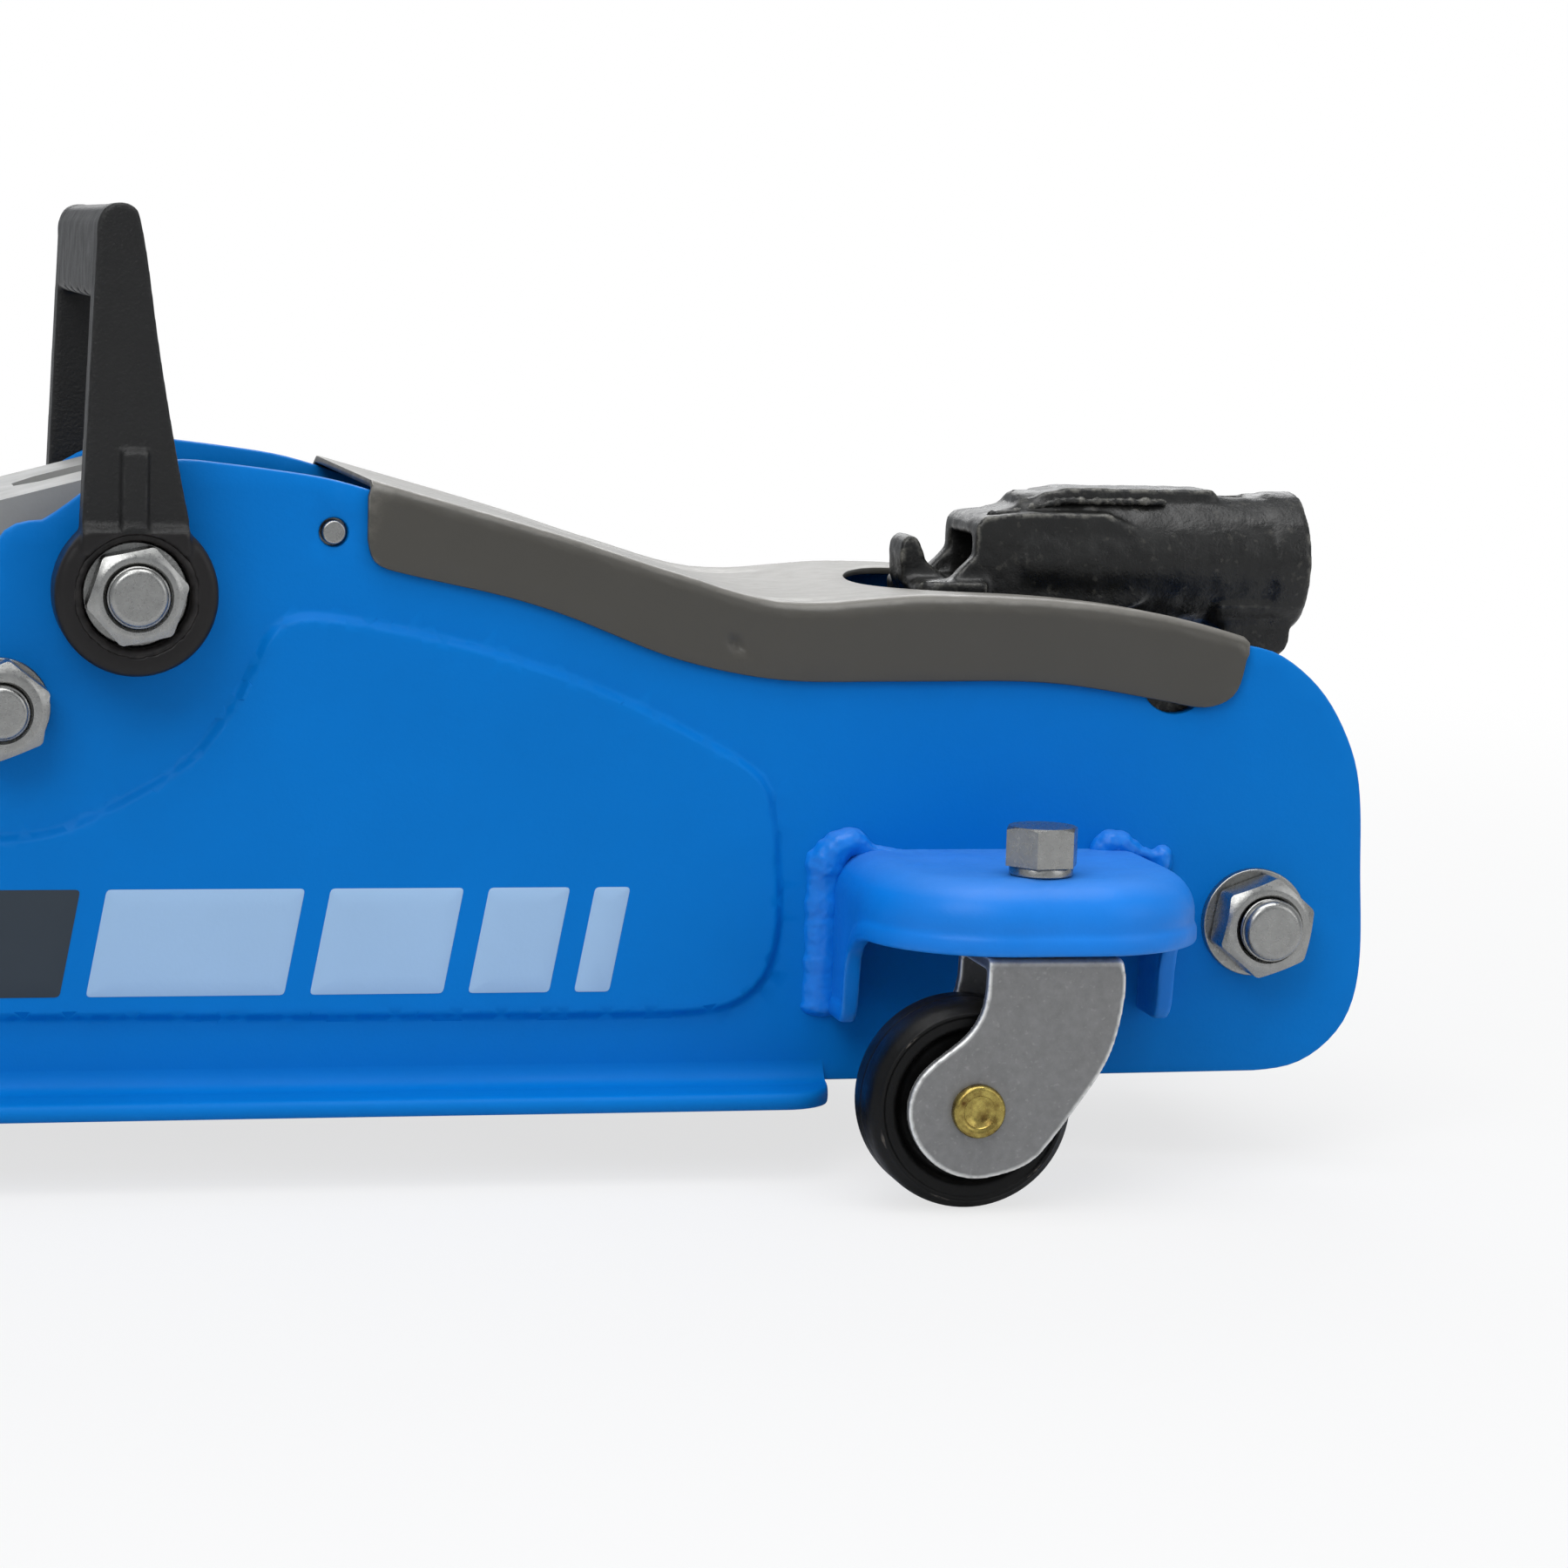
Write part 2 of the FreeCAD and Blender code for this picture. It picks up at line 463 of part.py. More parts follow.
# pump plunger, its spring, and the release valve
HEAD_TOP = CZ - ROLLER_R - 0.35
COLLAR_Z = 77.3
pl = zcyl(PUMP_X, 0, 46.5, HEAD_TOP, 5.0).fuse(zcyl(PUMP_X, 0, COLLAR_Z, COLLAR_Z + 2.6, 9.7))
pl = fillet(pl, 0.8, lambda k: near(k, z=HEAD_TOP), "plunger head")
boxes.append(write("pump_plunger", pl))
spg = zcyl(PUMP_X, 0, 66.5, COLLAR_Z - 0.1, 9.7).cut(zcyl(PUMP_X, 0, 60.0, 90.0, 8.1))
boxes.append(write("pump_spring", spg))
val = revolve([(0.0, 214.5), (1.2, 214.5), (5.0, 218.5), (5.0, 237.4), (8.0, 237.4), (8.0, 246.0), (7.0, 247.0), (0.0, 247.0)], (0, 0, 71.0), "x")
val = val.cut([box(243.2, 248.0, -1.6, 1.6, 60.0, 82.0), box(243.2, 248.0, -12.0, 12.0, 69.4, 72.6)])
boxes.append(write("release_valve_screw", val))

# ram
rod = xcyl(0, RAM_Z, LX + 14.0, 122.0, 10.0)
boxes.append(write("ram_rod", rod.fuse(xcyl(0, RAM_Z, 121.0, 137.0, 11.4)).fuse(xcyl(0, RAM_Z, 117.0, 121.0, 13.0)).fuse(xcyl(0, RAM_Z, 137.0, 141.0, 13.0))))
boxes.append(write("piston_seal", xcyl(0, RAM_Z, 121.2, 136.8, 13.04).cut(xcyl(0, RAM_Z, 110.0, 150.0, 11.5))))
hd = box(LX - 13.0, LX + 18.0, -12.1, 12.1, 60.5, 91.5)
hd = fillet(hd, 5.0, lambda k: k.BoundBox.YLength > 20 and k.BoundBox.XLength < 1 and k.BoundBox.ZLength < 1, "ram head corners")
slot = box(LX - 6.9, LX + 6.9, -20, 20, 72.0, 80.0).fuse([ycyl(LX, 72.4, -20, 20, 6.9), ycyl(LX, 79.9, -20, 20, 6.9)])
hd = hd.cut(slot.removeSplitter()).cut(xcyl(0, RAM_Z, LX + 14.0, LX + 30.0, 10.02))
boxes.append(write("ram_head", hd))

# ---------------------------------------------------------------- lift arm
U0, U1 = 70.0, 165.0


def arm_half(u, out=True, t=0.0):
    k = min(max((u - U0) / (U1 - U0), 0.0), 1.0)
    return ARM_W + (ARM_WF - ARM_W) * k - t


def arm():
    side = [(-10, 19.2), (-3, 21.5), (40, 21.5), (120, 20.6), (160, 18.0), (184, 14.8), (193, 12.2), (203, 11.6), (215, 11.5)]
    low = [(215, -11.5), (190, -12.5), (150, -14.0), (60, -14.5), (20, -15.0)]
    rear = []
    for i in range(0, 11):
        t = math.radians(-118.0 - i * (242.0 - 118.0) / 10)
        rear.append((21.5 * math.cos(t), 21.5 * math.sin(t)))
    rear = [(21.5 * math.cos(math.radians(t)), 21.5 * math.sin(math.radians(t))) for t in range(-80, -241, -10)]
    rear = [p for p in rear if p[0] < 2.0 or p[1] < 0]
    nose = [(215 + 11.5 * math.cos(math.radians(t)), 11.5 * math.sin(math.radians(t))) for t in range(80, -81, -10)]
    prof = [uv(*p) for p in side] + [uv(*p) for p in nose] + [uv(*p) for p in low] + [uv(*p) for p in rear]
    full = prism(prof, -60, 60)

    def walls(t0, t1):
        n = 13
        us = [-40.0, U0] + [U0 + (U1 - U0) * i / n for i in range(1, n)] + [U1, 260.0]
        o = [(uv(u, 0), -arm_half(u, t=t0)) for u in (-40.0, U0, U1, 260.0)]
        i = [(uv(u, 0), -arm_half(u, t=t1)) for u in (260.0, U1, U0, -40.0)]
        pts = [V(p[0], y, p[1]) for p, y in o + i]
        f = Part.Face(Part.makePolygon(pts + [pts[0]]))
        f.translate(V(-40 * NX, 0, -40 * NZ))
        return f.extrude(V(80 * NX, 0, 80 * NZ))

    cheek = full.common(walls(0.0, ARM_T))
    cheeks = cheek.fuse(mirror(cheek))
    # web: the band under the top line
    web_side = side[1:6]
    inner = [(u, v - ARM_T) for u, v in web_side]
    band = prism([uv(*p) for p in web_side] + [uv(*p) for p in inner[::-1]], -60, 60)
    o = [(uv(u, 0), -arm_half(u)) for u in (-40.0, U0, U1, 260.0)]
    o2 = [(p, -y) for p, y in o[::-1]]
    pts = [V(p[0], y, p[1]) for p, y in o + o2]
    f = Part.Face(Part.makePolygon(pts + [pts[0]]))
    f.translate(V(-40 * NX, 0, -40 * NZ))
    inside = f.extrude(V(80 * NX, 0, 80 * NZ))
    web = band.common(inside)
    # rear U notch and front fork notch in the web
    nr = Part.Face(Part.makePolygon([V(uv(u, 0)[0], y, uv(u, 0)[1]) for u, y in ((-20, -9.0), (10, -9.0), (15, -4), (15, 4), (10, 9.0), (-20, 9.0), (-20, -9.0))]))
    nr = nr.extrude(V(60 * NX, 0, 60 * NZ))
    web = web.cut(nr)
    s = cheeks.fuse(web)
    # pivot sleeve, lever ears
    s = s.fuse(ycyl(PX, PZ, -19.6, 19.6, 13.0))
    for y0, y1 in ((-19.6, -12.6), (12.6, 19.6)):
        e = link(PX, PZ, 14.5, LX, LZ, 10.5, y0, y1)
        e = e.fuse(prism([uv(-9, 0), uv(-7, 18.4), uv(26, 18.4), uv(13, 0)], y0, y1))
        s = s.fuse(e)
    for y0, y1 in ((-ARM_W + 0.01, -ARM_W + 6.0), (ARM_W - 6.0, ARM_W - 0.01)):
        pass
    # cross piece under the web at mid length
    s = s.fuse(prism([uv(60, 18.5), uv(60, 2.0), uv(63.5, 2.0), uv(63.5, 18.5)], -30.0, 30.0))
    s = s.removeSplitter()
    s = s.cut(ycyl(PX, PZ, -60, 60, 8.06))
    s = s.cut(ycyl(LX, LZ, -60, 60, 6.02))
    s = s.cut(ycyl(SX, SZ, -60, 60, 5.52))
    return s


boxes.append(write("lift_arm", arm()))
lp = ycyl(LX, LZ, -29.0, 29.0, 4.4).fuse(ycyl(LX, LZ, -19.7, 19.7, 6.0))
boxes.append(write("lever_pin", lp))
spn = ycyl(SX, SZ, -21.2, 21.2, 5.5).fuse([ycyl(SX, SZ, -21.2, -19.15, 7.4), ycyl(SX, SZ, 19.15, 21.2, 7.4)])
spn = ycyl(SX, SZ, -19.15, 19.15, 5.5).fuse([ycyl(SX, SZ, -19.55, -19.1, 6.8), ycyl(SX, SZ, 19.1, 19.55, 6.8)])
boxes.append(write("saddle_pivot_pin", spn))

# ---------------------------------------------------------------- saddle base and saddle
SAD_Z = 74.6
sb = link(SX, SZ, 11.0, TX, TZ, 9.0, -15.0, 15.0)
boss = zcyl(SAD_X, 0, 56.0, SAD_Z - 0.15, 15.0)
sb = sb.fuse(boss)
sb = sb.fuse(prism([(SAD_X - 12, SAD_Z - 4.0), (SAD_X + 12, SAD_Z - 4.0), (SX + 6, SZ + 2), (TX - 4, TZ + 4)], -12.0, 12.0)).removeSplitter()
sb = sb.cut(ycyl(SX, SZ, -40, 40, 5.56)).cut(ycyl(TX, TZ, -40, 40, 4.52)).cut(zcyl(SAD_X, 0, 50.0, 90.0, 6.06))
boxes.append(write("saddle_base", sb))
tp = ycyl(TX, TZ, -25.3, 25.3, 4.5).fuse([ycyl(TX, TZ, -25.3, -24.0, 6.5), ycyl(TX, TZ, 24.0, 25.3, 6.5)])
boxes.append(write("tie_rod_front_pin", tp))

sad = revolve([(0.0, SAD_Z), (25.0, SAD_Z), (28.0, SAD_Z + 2.6), (28.0, SAD_Z + 6.4), (26.6, SAD_Z + 7.6), (23.4, SAD_Z + 7.6), (21.6, SAD_Z + 5.0), (0.0, SAD_Z + 4.4)], (SAD_X, 0, 0), "z")
sad = sad.fuse(zcyl(SAD_X, 0, 57.0, SAD_Z + 1, 6.0))
for i in range(4):
    t = Part.Face(Part.makePolygon([V(SAD_X + 21.4, -6.4, SAD_Z + 4), V(SAD_X + 27.6, -7.6, SAD_Z + 4), V(SAD_X + 27.6, 7.6, SAD_Z + 4), V(SAD_X + 21.4, 6.4, SAD_Z + 4), V(SAD_X + 21.4, -6.4, SAD_Z + 4)])).extrude(V(0, 0, 7.6))
    t = t.common(zcyl(SAD_X, 0, SAD_Z, SAD_Z + 20, 27.6))
    t = t.rotate(V(SAD_X, 0, 0), V(0, 0, 1), 45 + 90 * i)
    sad = sad.fuse(t)
for i in range(8):
    rr = box(SAD_X + 7.0, SAD_X + 20.5, -1.1, 1.1, SAD_Z + 4.0, SAD_Z + 5.6)
    rr.rotate(V(SAD_X, 0, 0), V(0, 0, 1), 45 * i)
    sad = sad.fuse(rr)
sad = sad.fuse(zcyl(SAD_X, 0, SAD_Z + 4.0, SAD_Z + 6.0, 6.0)).removeSplitter()
boxes.append(write("saddle", sad))


# ---------------------------------------------------------------- tie rods
def tie_rod():
    # set out in the arm's own directions from the rear pivot
    n = 5.0
    y_r, y_f = (ROD_IN + ROD_OUT) / 2, 21.8
    ub = (PX - QX) * -DX + 0
    du = (QX - PX) * DX + (QZ - PZ) * DZ
    a0, a1 = U0 - 2.0, U1 + 2.0
    pts = [(-12.0, y_r), (a0 - du, y_r), (a1 - du, y_f), (ARM_L + 12.0, y_f)]
    def strip(off):
        return [(p[0], p[1] + off) for p in pts]
    o = strip(n / 2)
    o[2] = (o[2][0] + 0.0, y_f + 2.0)
    o[3] = (o[3][0], y_f + 2.0)
    i = strip(-n / 2)
    i[2] = (i[2][0], y_f - 2.0)
    i[3] = (i[3][0], y_f - 2.0)
    loop = o + i[::-1]
    P3 = [V(QX + u * DX - 30 * NX, -y, QZ + u * DZ - 30 * NZ) for u, y in loop]
    f = Part.Face(Part.makePolygon(P3 + [P3[0]]))
    sheet = f.extrude(V(60 * NX, 0, 60 * NZ))
    # a joggled flat bar with a round eye at each end
    s = sheet.common(link(QX, QZ, 8.6, TX, TZ, 7.6, -60, 0).cut(Part.makeBox(1, 1, 1, V(0, 300, 0))))
    s = s.cut(ycyl(QX, QZ, -60, 0, 5.06)).cut(ycyl(TX, TZ, -60, 0, 4.56))
    return s


tr = tie_rod()
boxes.append(write("tie_rod_near", tr))
boxes.append(write("tie_rod_far", mirror(tr)))

# ---------------------------------------------------------------- front axle and wheels
ax = ycyl(FAXX, FAXZ, -PLATE_OUT - 1.4, PLATE_OUT + 1.4, 6.0)
ax = ax.fuse([ycyl(FAXX, FAXZ, -PLATE_OUT - 4.0, -PLATE_OUT - 0.05, 9.0), ycyl(FAXX, FAXZ, PLATE_OUT + 0.05, PLATE_OUT + 4.0, 9.0)])
ax = fillet(ax, 1.6, lambda k: near(k, y=-PLATE_OUT - 4.0) or near(k, y=PLATE_OUT + 4.0), "axle heads")
boxes.append(write("front_axle", ax))
boxes.append(write("front_axle_sleeve", ycyl(FAXX, FAXZ, -25.2, 25.2, 7.6).cut(ycyl(FAXX, FAXZ, -60, 60, 6.1))))
fw = revolve([(6.07, -7.8), (11.0, -7.8), (12.0, -6.0), (20.5, -6.0), (21.5, -8.0), (24.0, -8.0), (25.0, -7.0), (25.0, 7.0),
              (24.0, 8.0), (21.5, 8.0), (20.5, 6.0), (12.0, 6.0), (11.0, 7.8), (6.07, 7.8)], (FAXX, -33.8, FAXZ), "y")
boxes.append(write("front_wheel_near", fw))
boxes.append(write("front_wheel_far", mirror(fw)))


# ---------------------------------------------------------------- casters
FORK = [(159.0, 49.6), (185.4, 49.4), (186.0, 46.6), (185.6, 38.6), (182.9, 29.4), (178.2, 22.0), (172.6, 14.4), (168.2, 9.9),
        (163.0, 7.8), (157.5, 7.0), (151.8, 8.4), (147.2, 12.0), (144.4, 17.2), (144.2, 22.6), (146.4, 27.2), (151.2, 31.4),
        (155.4, 35.0), (158.0, 39.4), (158.8, 44.4)]
FIN, FOUT = SWY - 9.0, SWY + 9.0          # inner faces of the fork legs
FT = 2.4


def fork():
    lo, hi = -(FOUT + FT), -(FIN - FT)
    s = outline([("s", FORK[1:] + [FORK[0]]), ("l", [FORK[0], FORK[1]])], lo, hi)
    s = s.cut(box(130, 200, -FOUT, -FIN, 0, 49.5 - FT))
    s = fillet(s, 1.6, lambda k: k.BoundBox.XLength > 20 and k.BoundBox.ZMin > 49.0 and
               (abs(k.BoundBox.YMin - lo) < 0.1 or abs(k.BoundBox.YMax - hi) < 0.1) and k.BoundBox.YLength < 0.1, "fork top edges")
    s = s.cut(zcyl(SWX, -SWY, 40, 60, 4.1))
    s = s.cut(ycyl(CWX, CW_R, -110, -50, 3.05))
    race = revolve([(4.1, 49.3), (8.8, 49.3), (8.8, 51.2), (6.8, 54.0), (4.1, 54.0)], (SWX, -SWY, 0), "z")
    return s.fuse(race)


s = fork()
boxes.append(write("caster_fork_near", s))
boxes.append(write("caster_fork_far", mirror(s)))
ur = revolve([(4.05, 54.4), (7.3, 54.4), (9.2, 51.8), (9.4, 51.8), (9.4, 60.45), (4.05, 60.45)], (SWX, -SWY, 0), "z")
boxes.append(write("caster_upper_races", group(ur, mirror(ur))))
kb = zcyl(SWX, -SWY, 40.5, 66.2, 4.0).fuse(hexprism((SWX, -SWY, 66.0), "z", 13.0, 7.6, 8, (False, True)))
boxes.append(write("caster_king_bolts", group(kb, mirror(kb))))
kw = zcyl(SWX, -SWY, 64.02, 65.98, 8.4).cut(zcyl(SWX, -SWY, 60, 70, 4.05))
boxes.append(write("caster_king_washers", group(kw, mirror(kw))))
kn = hexprism((SWX, -SWY, 41.5), "z", 12.0, 5.2, 0, (True, False)).cut(zcyl(SWX, -SWY, 30, 60, 4.02))
boxes.append(write("caster_king_nuts", group(kn, mirror(kn))))
cw = revolve([(3.3, -7.6), (7.0, -7.6), (8.0, -6.2), (14.6, -6.2), (15.6, -7.9), (17.8, -7.9), (19.6, -7.0), (20.3, -4.8),
              (20.3, 4.8), (19.6, 7.0), (17.8, 7.9), (15.6, 7.9), (14.6, 6.2), (8.0, 6.2), (7.0, 7.6), (3.3, 7.6)], (CWX, -SWY, CW_R), "y")
boxes.append(write("caster_wheel_near", cw))
boxes.append(write("caster_wheel_far", mirror(cw)))
ri = ycyl(CWX, CW_R, -(FOUT + FT) - 0.1, -(FIN - FT) + 0.1, 3.0)
lo = -(FOUT + FT)
hdn = revolve([(0.0, -0.7), (2.2, -0.7), (3.2, -1.7), (4.0, -1.9), (4.8, -1.0), (4.8, -0.02), (0.0, -0.02)], (CWX, lo, CW_R), "y")
hi = -(FIN - FT)
hdf = revolve([(0.0, 0.7), (2.2, 0.7), (3.2, 1.5), (4.0, 1.7), (4.8, 1.0), (4.8, 0.02), (0.0, 0.02)], (CWX, hi, CW_R), "y")
ri = ri.fuse([hdn, hdf])
boxes.append(write("caster_rivet_near", ri))
boxes.append(write("caster_rivet_far", mirror(ri)))


# ---------------------------------------------------------------- handle socket
def socket():
    s = xcyl(0, TUBE_Z, 186.0, 248.6, TUBE_R)
    s = s.fuse(xcyl(0, TUBE_Z, 241.5, 248.6, TUBE_R + 0.5))
    for y0, y1 in ((-12.9, -8.6), (8.6, 12.9)):
        ck = prism([(175.6, 109.0), (175.6, 126.6), (177.4, 128.6), (188.0, 129.6), (204.0, 129.6), (212.0, 126.0), (216.0, 119.5),
                    (212.0, 111.0), (204.0, 107.6), (197.0, 106.0), (190.0, 100.0), (180.0, 100.0)], y0, y1)
        ck = ck.fuse([link(HX, HZ, 8.6, CX, CZ, 6.0, y0, y1)])
        ck = ck.fuse(ycyl(CX, CZ, min(y0, 7.3) if y0 > 0 else y0, y1 if y0 > 0 else -7.3, 4.6))
        s = s.fuse(ck)
    roof = prism([(175.6, 124.6), (175.6, 126.6), (177.4, 128.6), (186.0, 130.6), (192.0, 133.6), (197.0, 134.5), (228.5, 134.5),
                  (229.6, 133.4), (229.6, 128.0), (198.0, 120.0), (192.0, 116.0), (189.0, 122.0)], -7.2, 7.2)
    s = s.fuse([roof, prism([(175.6, 124.6), (175.6, 126.6), (177.4, 128.6), (188.0, 129.6), (200.0, 129.6), (200.0, 122.0)], -10.0, 10.0)])
    tongue = prism([(163.0, 111.4), (163.0, 114.2), (164.4, 115.2), (178.0, 115.2), (178.0, 111.0)], -15.0, 15.0)
    tongue = fillet(tongue, 4.0, lambda k: k.BoundBox.XMax < 165 and k.BoundBox.ZLength > 2 and k.BoundBox.YLength < 0.1, "tongue corners")
    gusset = prism([(170.0, 115.0), (176.0, 121.0), (176.0, 115.0)], -12.9, -9.0)
    ear = prism([(161.9, 114.2), (161.5, 120.6), (162.0, 123.0), (163.4, 124.2), (165.2, 123.6), (166.2, 121.4), (167.2, 118.6), (170.2, 116.4), (173.0, 114.4)], -5.5, 5.5)
    ear = ear.cut(box(150.0, 163.2, -10.0, 10.0, 100.0, 114.0))
    s = s.fuse([tongue, ear, gusset, mirror(gusset)])
    lowb = prism([(231.0, 110.0), (231.5, 100.6), (233.0, 99.2), (243.0, 99.2), (245.6, 101.0), (247.0, 110.0)], -9.0, 9.0)
    lip = xcyl(0, TUBE_Z, 229.0, 247.4, TUBE_R + 1.2).common(box(200, 260, -30, 30, 100, 110.6))
    s = s.fuse([lowb, lip]).removeSplitter()
    s = s.cut(xcyl(0, TUBE_Z, 199.0, 260.0, BORE_R))
    s = s.cut(ycyl(HX, HZ, -40, 40, 5.06)).cut(ycyl(CX, CZ, -40, 40, 3.02))
    # locating notch in the top of the mouth
    s = s.cut(box(231.2, 236.6, -3.2, 3.2, 128.0, 140.0))
    return s


boxes.append(write("handle_socket", socket()))
boxes.append(write("pump_roller", ycyl(CX, CZ, -7.0, 7.0, ROLLER_R).cut(ycyl(CX, CZ, -20, 20, 3.06))))
rp = ycyl(CX, CZ, -13.6, 13.6, 3.0)
boxes.append(write("pump_roller_pin", rp))
hp = ycyl(HX, HZ, -45.9, 45.9, 5.0)
boxes.append(write("socket_pivot_pin", hp.cut(group(zcyl(HX, -41.0, 90, 110, 1.1), zcyl(HX, 41.0, 90, 110, 1.1)))))
sk = ycyl(STX, STZ, -44.6, 44.6, 5.0).cut(ycyl(STX, STZ, -24.0, 24.0, 9.0)).fuse(ycyl(STX, STZ, -24.0, 24.0, 4.0))
col = ycyl(STX, STZ, -PLATE_IN + 0.1, -PLATE_IN + 2.6, 9.0)
sk = sk.fuse([col, mirror(col)])
sk = sk.cut(group(zcyl(STX, -38.6, 80, 110, 1.1), zcyl(STX, 38.6, 80, 110, 1.1)))
boxes.append(write("socket_stop_pin", sk))


def cotter(x, y, z, r):
    c = zcyl(x, y, z - r - 4.0, z + r + 1.2, 1.0)
    e = Part.makeTorus(1.7, 0.8, V(x, y, z + r + 2.6), V(0, 1, 0))
    return c.fuse(e)


ct = [cotter(HX, -41.0, HZ, 5.0), cotter(STX, -38.6, STZ, 5.0)]
boxes.append(write("split_pins", group(*(ct + [mirror(c) for c in ct]))))


# ---------------------------------------------------------------- carry handle
def carry():
    legp = [(-10.6, 121.0), (-10.2, 129.0), (-9.3, 150.0), (-8.5, 168.0), (-7.9, 181.0), (-7.6, 184.4), (-6.2, 186.6), (-4.2, 187.4), (-1.8, 187.1),
            (-0.2, 185.6), (0.6, 182.0), (3.0, 166.0), (5.9, 148.0), (9.6, 129.0), (11.0, 120.0)]
    leg = outline([("s", legp[1:5]), ("s", legp[4:10]), ("s", legp[9:14]), ("l", [legp[13], (9.9, 122.0), (-10.3, 122.0), legp[1]])], -62.2, -50.0)
    hub = ycyl(PX, PZ, -HUB_OUT, -HUB_IN, 15.4)
    hub = fillet(hub, 1.6, lambda k: near(k, y=-HUB_OUT), "hub rim")
    leg = leg.fuse(hub)
    rib = prism([(-3.0, 127.0), (-3.0, 141.6), (1.8, 141.6), (1.8, 127.0)], -62.9, -61.0)
    leg = leg.fuse(rib)
    leg = leg.cut(ycyl(PX, PZ, -80, -SEAT, 11.4)).cut(ycyl(PX, PZ, -80, -40, 5.8))
    g = [(-8.3, 170.4), (-8.5, 172.0), (-8.0, 183.6), (-6.4, 186.4), (-4.2, 187.2), (-2.0, 186.8), (-0.6, 184.8), (0.9, 174.0), (0.7, 171.2), (-1.2, 169.6), (-6.6, 169.3)]
    grip = prism(g, -55.0, 55.0)
    s = leg.fuse([mirror(leg), grip]).removeSplitter()
    for i in range(4):
        s = s.cut(Part.makeCylinder(9.0, 30.0, V(-18, -30.0 + 20.0 * i, 162.2), V(1, 0, 0)))
    return s


boxes.append(write("carry_handle", carry()))


# ---------------------------------------------------------------- return springs
def spring(y):
    x0, z0, x1, z1 = 38.5, 125.9, LX, LZ
    d = V(x1 - x0, 0, z1 - z0)
    L = d.Length
    d.normalize()
    p = V(x0, y, z0)
    a0, a1 = 10.0, L - 12.0
    c = Part.makeCylinder(4.0, a1 - a0, p + d * a0, d).cut(Part.makeCylinder(2.6, a1 - a0 + 2, p + d * (a0 - 1), d))
    hooks = []
    r0, r1 = 2.3 + 1.2, 4.4 + 1.2
    t0 = Part.makeTorus(r0, 0.7, p, V(0, 1, 0))
    t1 = Part.makeTorus(r1, 0.7, V(x1, y, z1), V(0, 1, 0))
    s0 = Part.makeCylinder(0.7, a0 - r0 + 0.6, p + d * r0, d)
    s1 = Part.makeCylinder(0.7, L - r1 - a1 + 0.6, p + d * (a1 - 0.6), d)
    e0 = Part.makeCylinder(3.4, 1.2, p + d * (a0 - 0.2), d)
    e1 = Part.makeCylinder(3.4, 1.2, p + d * (a1 - 1.0), d)
    return c.fuse([e0, e1, s0, s1, t0, t1])


boxes.append(write("return_spring_near", spring(-24.6)))
boxes.append(write("return_spring_far", spring(24.6)))

b = boxes[0]
for k in boxes[1:]:
    b.add(k)
print("nodes", len(total), "solids", sum(v[0] for v in total.values()))
print("box x %.2f %.2f  y %.2f %.2f  z %.2f %.2f" % (b.XMin, b.XMax, b.YMin, b.YMax, b.ZMin, b.ZMax))
print("volume %.1f cm3" % (sum(v[1] for v in total.values()) / 1000))
print("S %.2f %.2f T %.2f %.2f L %.2f %.2f cam %.2f %.2f pump %.2f head %.2f" % (SX, SZ, TX, TZ, LX, LZ, CX, CZ, PUMP_X, HEAD_TOP))
for n, v in total.items():
    if v[0] != 1:
        print("  ", n, v[0])
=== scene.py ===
import json
import math
import bpy
import bmesh
import numpy as np
from mathutils import Matrix, Vector, noise
from mathutils.geometry import delaunay_2d_cdt


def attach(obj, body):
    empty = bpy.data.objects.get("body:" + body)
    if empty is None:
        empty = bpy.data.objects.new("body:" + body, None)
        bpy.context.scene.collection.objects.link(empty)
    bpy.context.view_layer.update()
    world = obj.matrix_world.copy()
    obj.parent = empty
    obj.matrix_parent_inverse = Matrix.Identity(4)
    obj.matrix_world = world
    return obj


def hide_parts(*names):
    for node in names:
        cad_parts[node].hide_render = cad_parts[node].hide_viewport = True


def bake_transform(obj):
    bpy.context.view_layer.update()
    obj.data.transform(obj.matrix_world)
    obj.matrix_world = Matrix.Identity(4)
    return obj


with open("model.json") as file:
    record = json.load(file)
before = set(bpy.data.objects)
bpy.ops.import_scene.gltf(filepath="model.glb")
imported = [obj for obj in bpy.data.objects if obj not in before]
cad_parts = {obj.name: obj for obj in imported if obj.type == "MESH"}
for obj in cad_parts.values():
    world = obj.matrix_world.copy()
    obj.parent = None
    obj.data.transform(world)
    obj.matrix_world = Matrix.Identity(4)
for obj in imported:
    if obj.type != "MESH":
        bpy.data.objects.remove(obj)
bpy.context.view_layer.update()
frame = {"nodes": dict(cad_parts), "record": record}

nodes = frame["nodes"]
scene = bpy.context.scene
SHIFT = -0.6          # stations below are in mm from the lift arm's pivot


def P(x, y, z):
    return Vector(((x + SHIFT) / 1000.0, y / 1000.0, z / 1000.0))


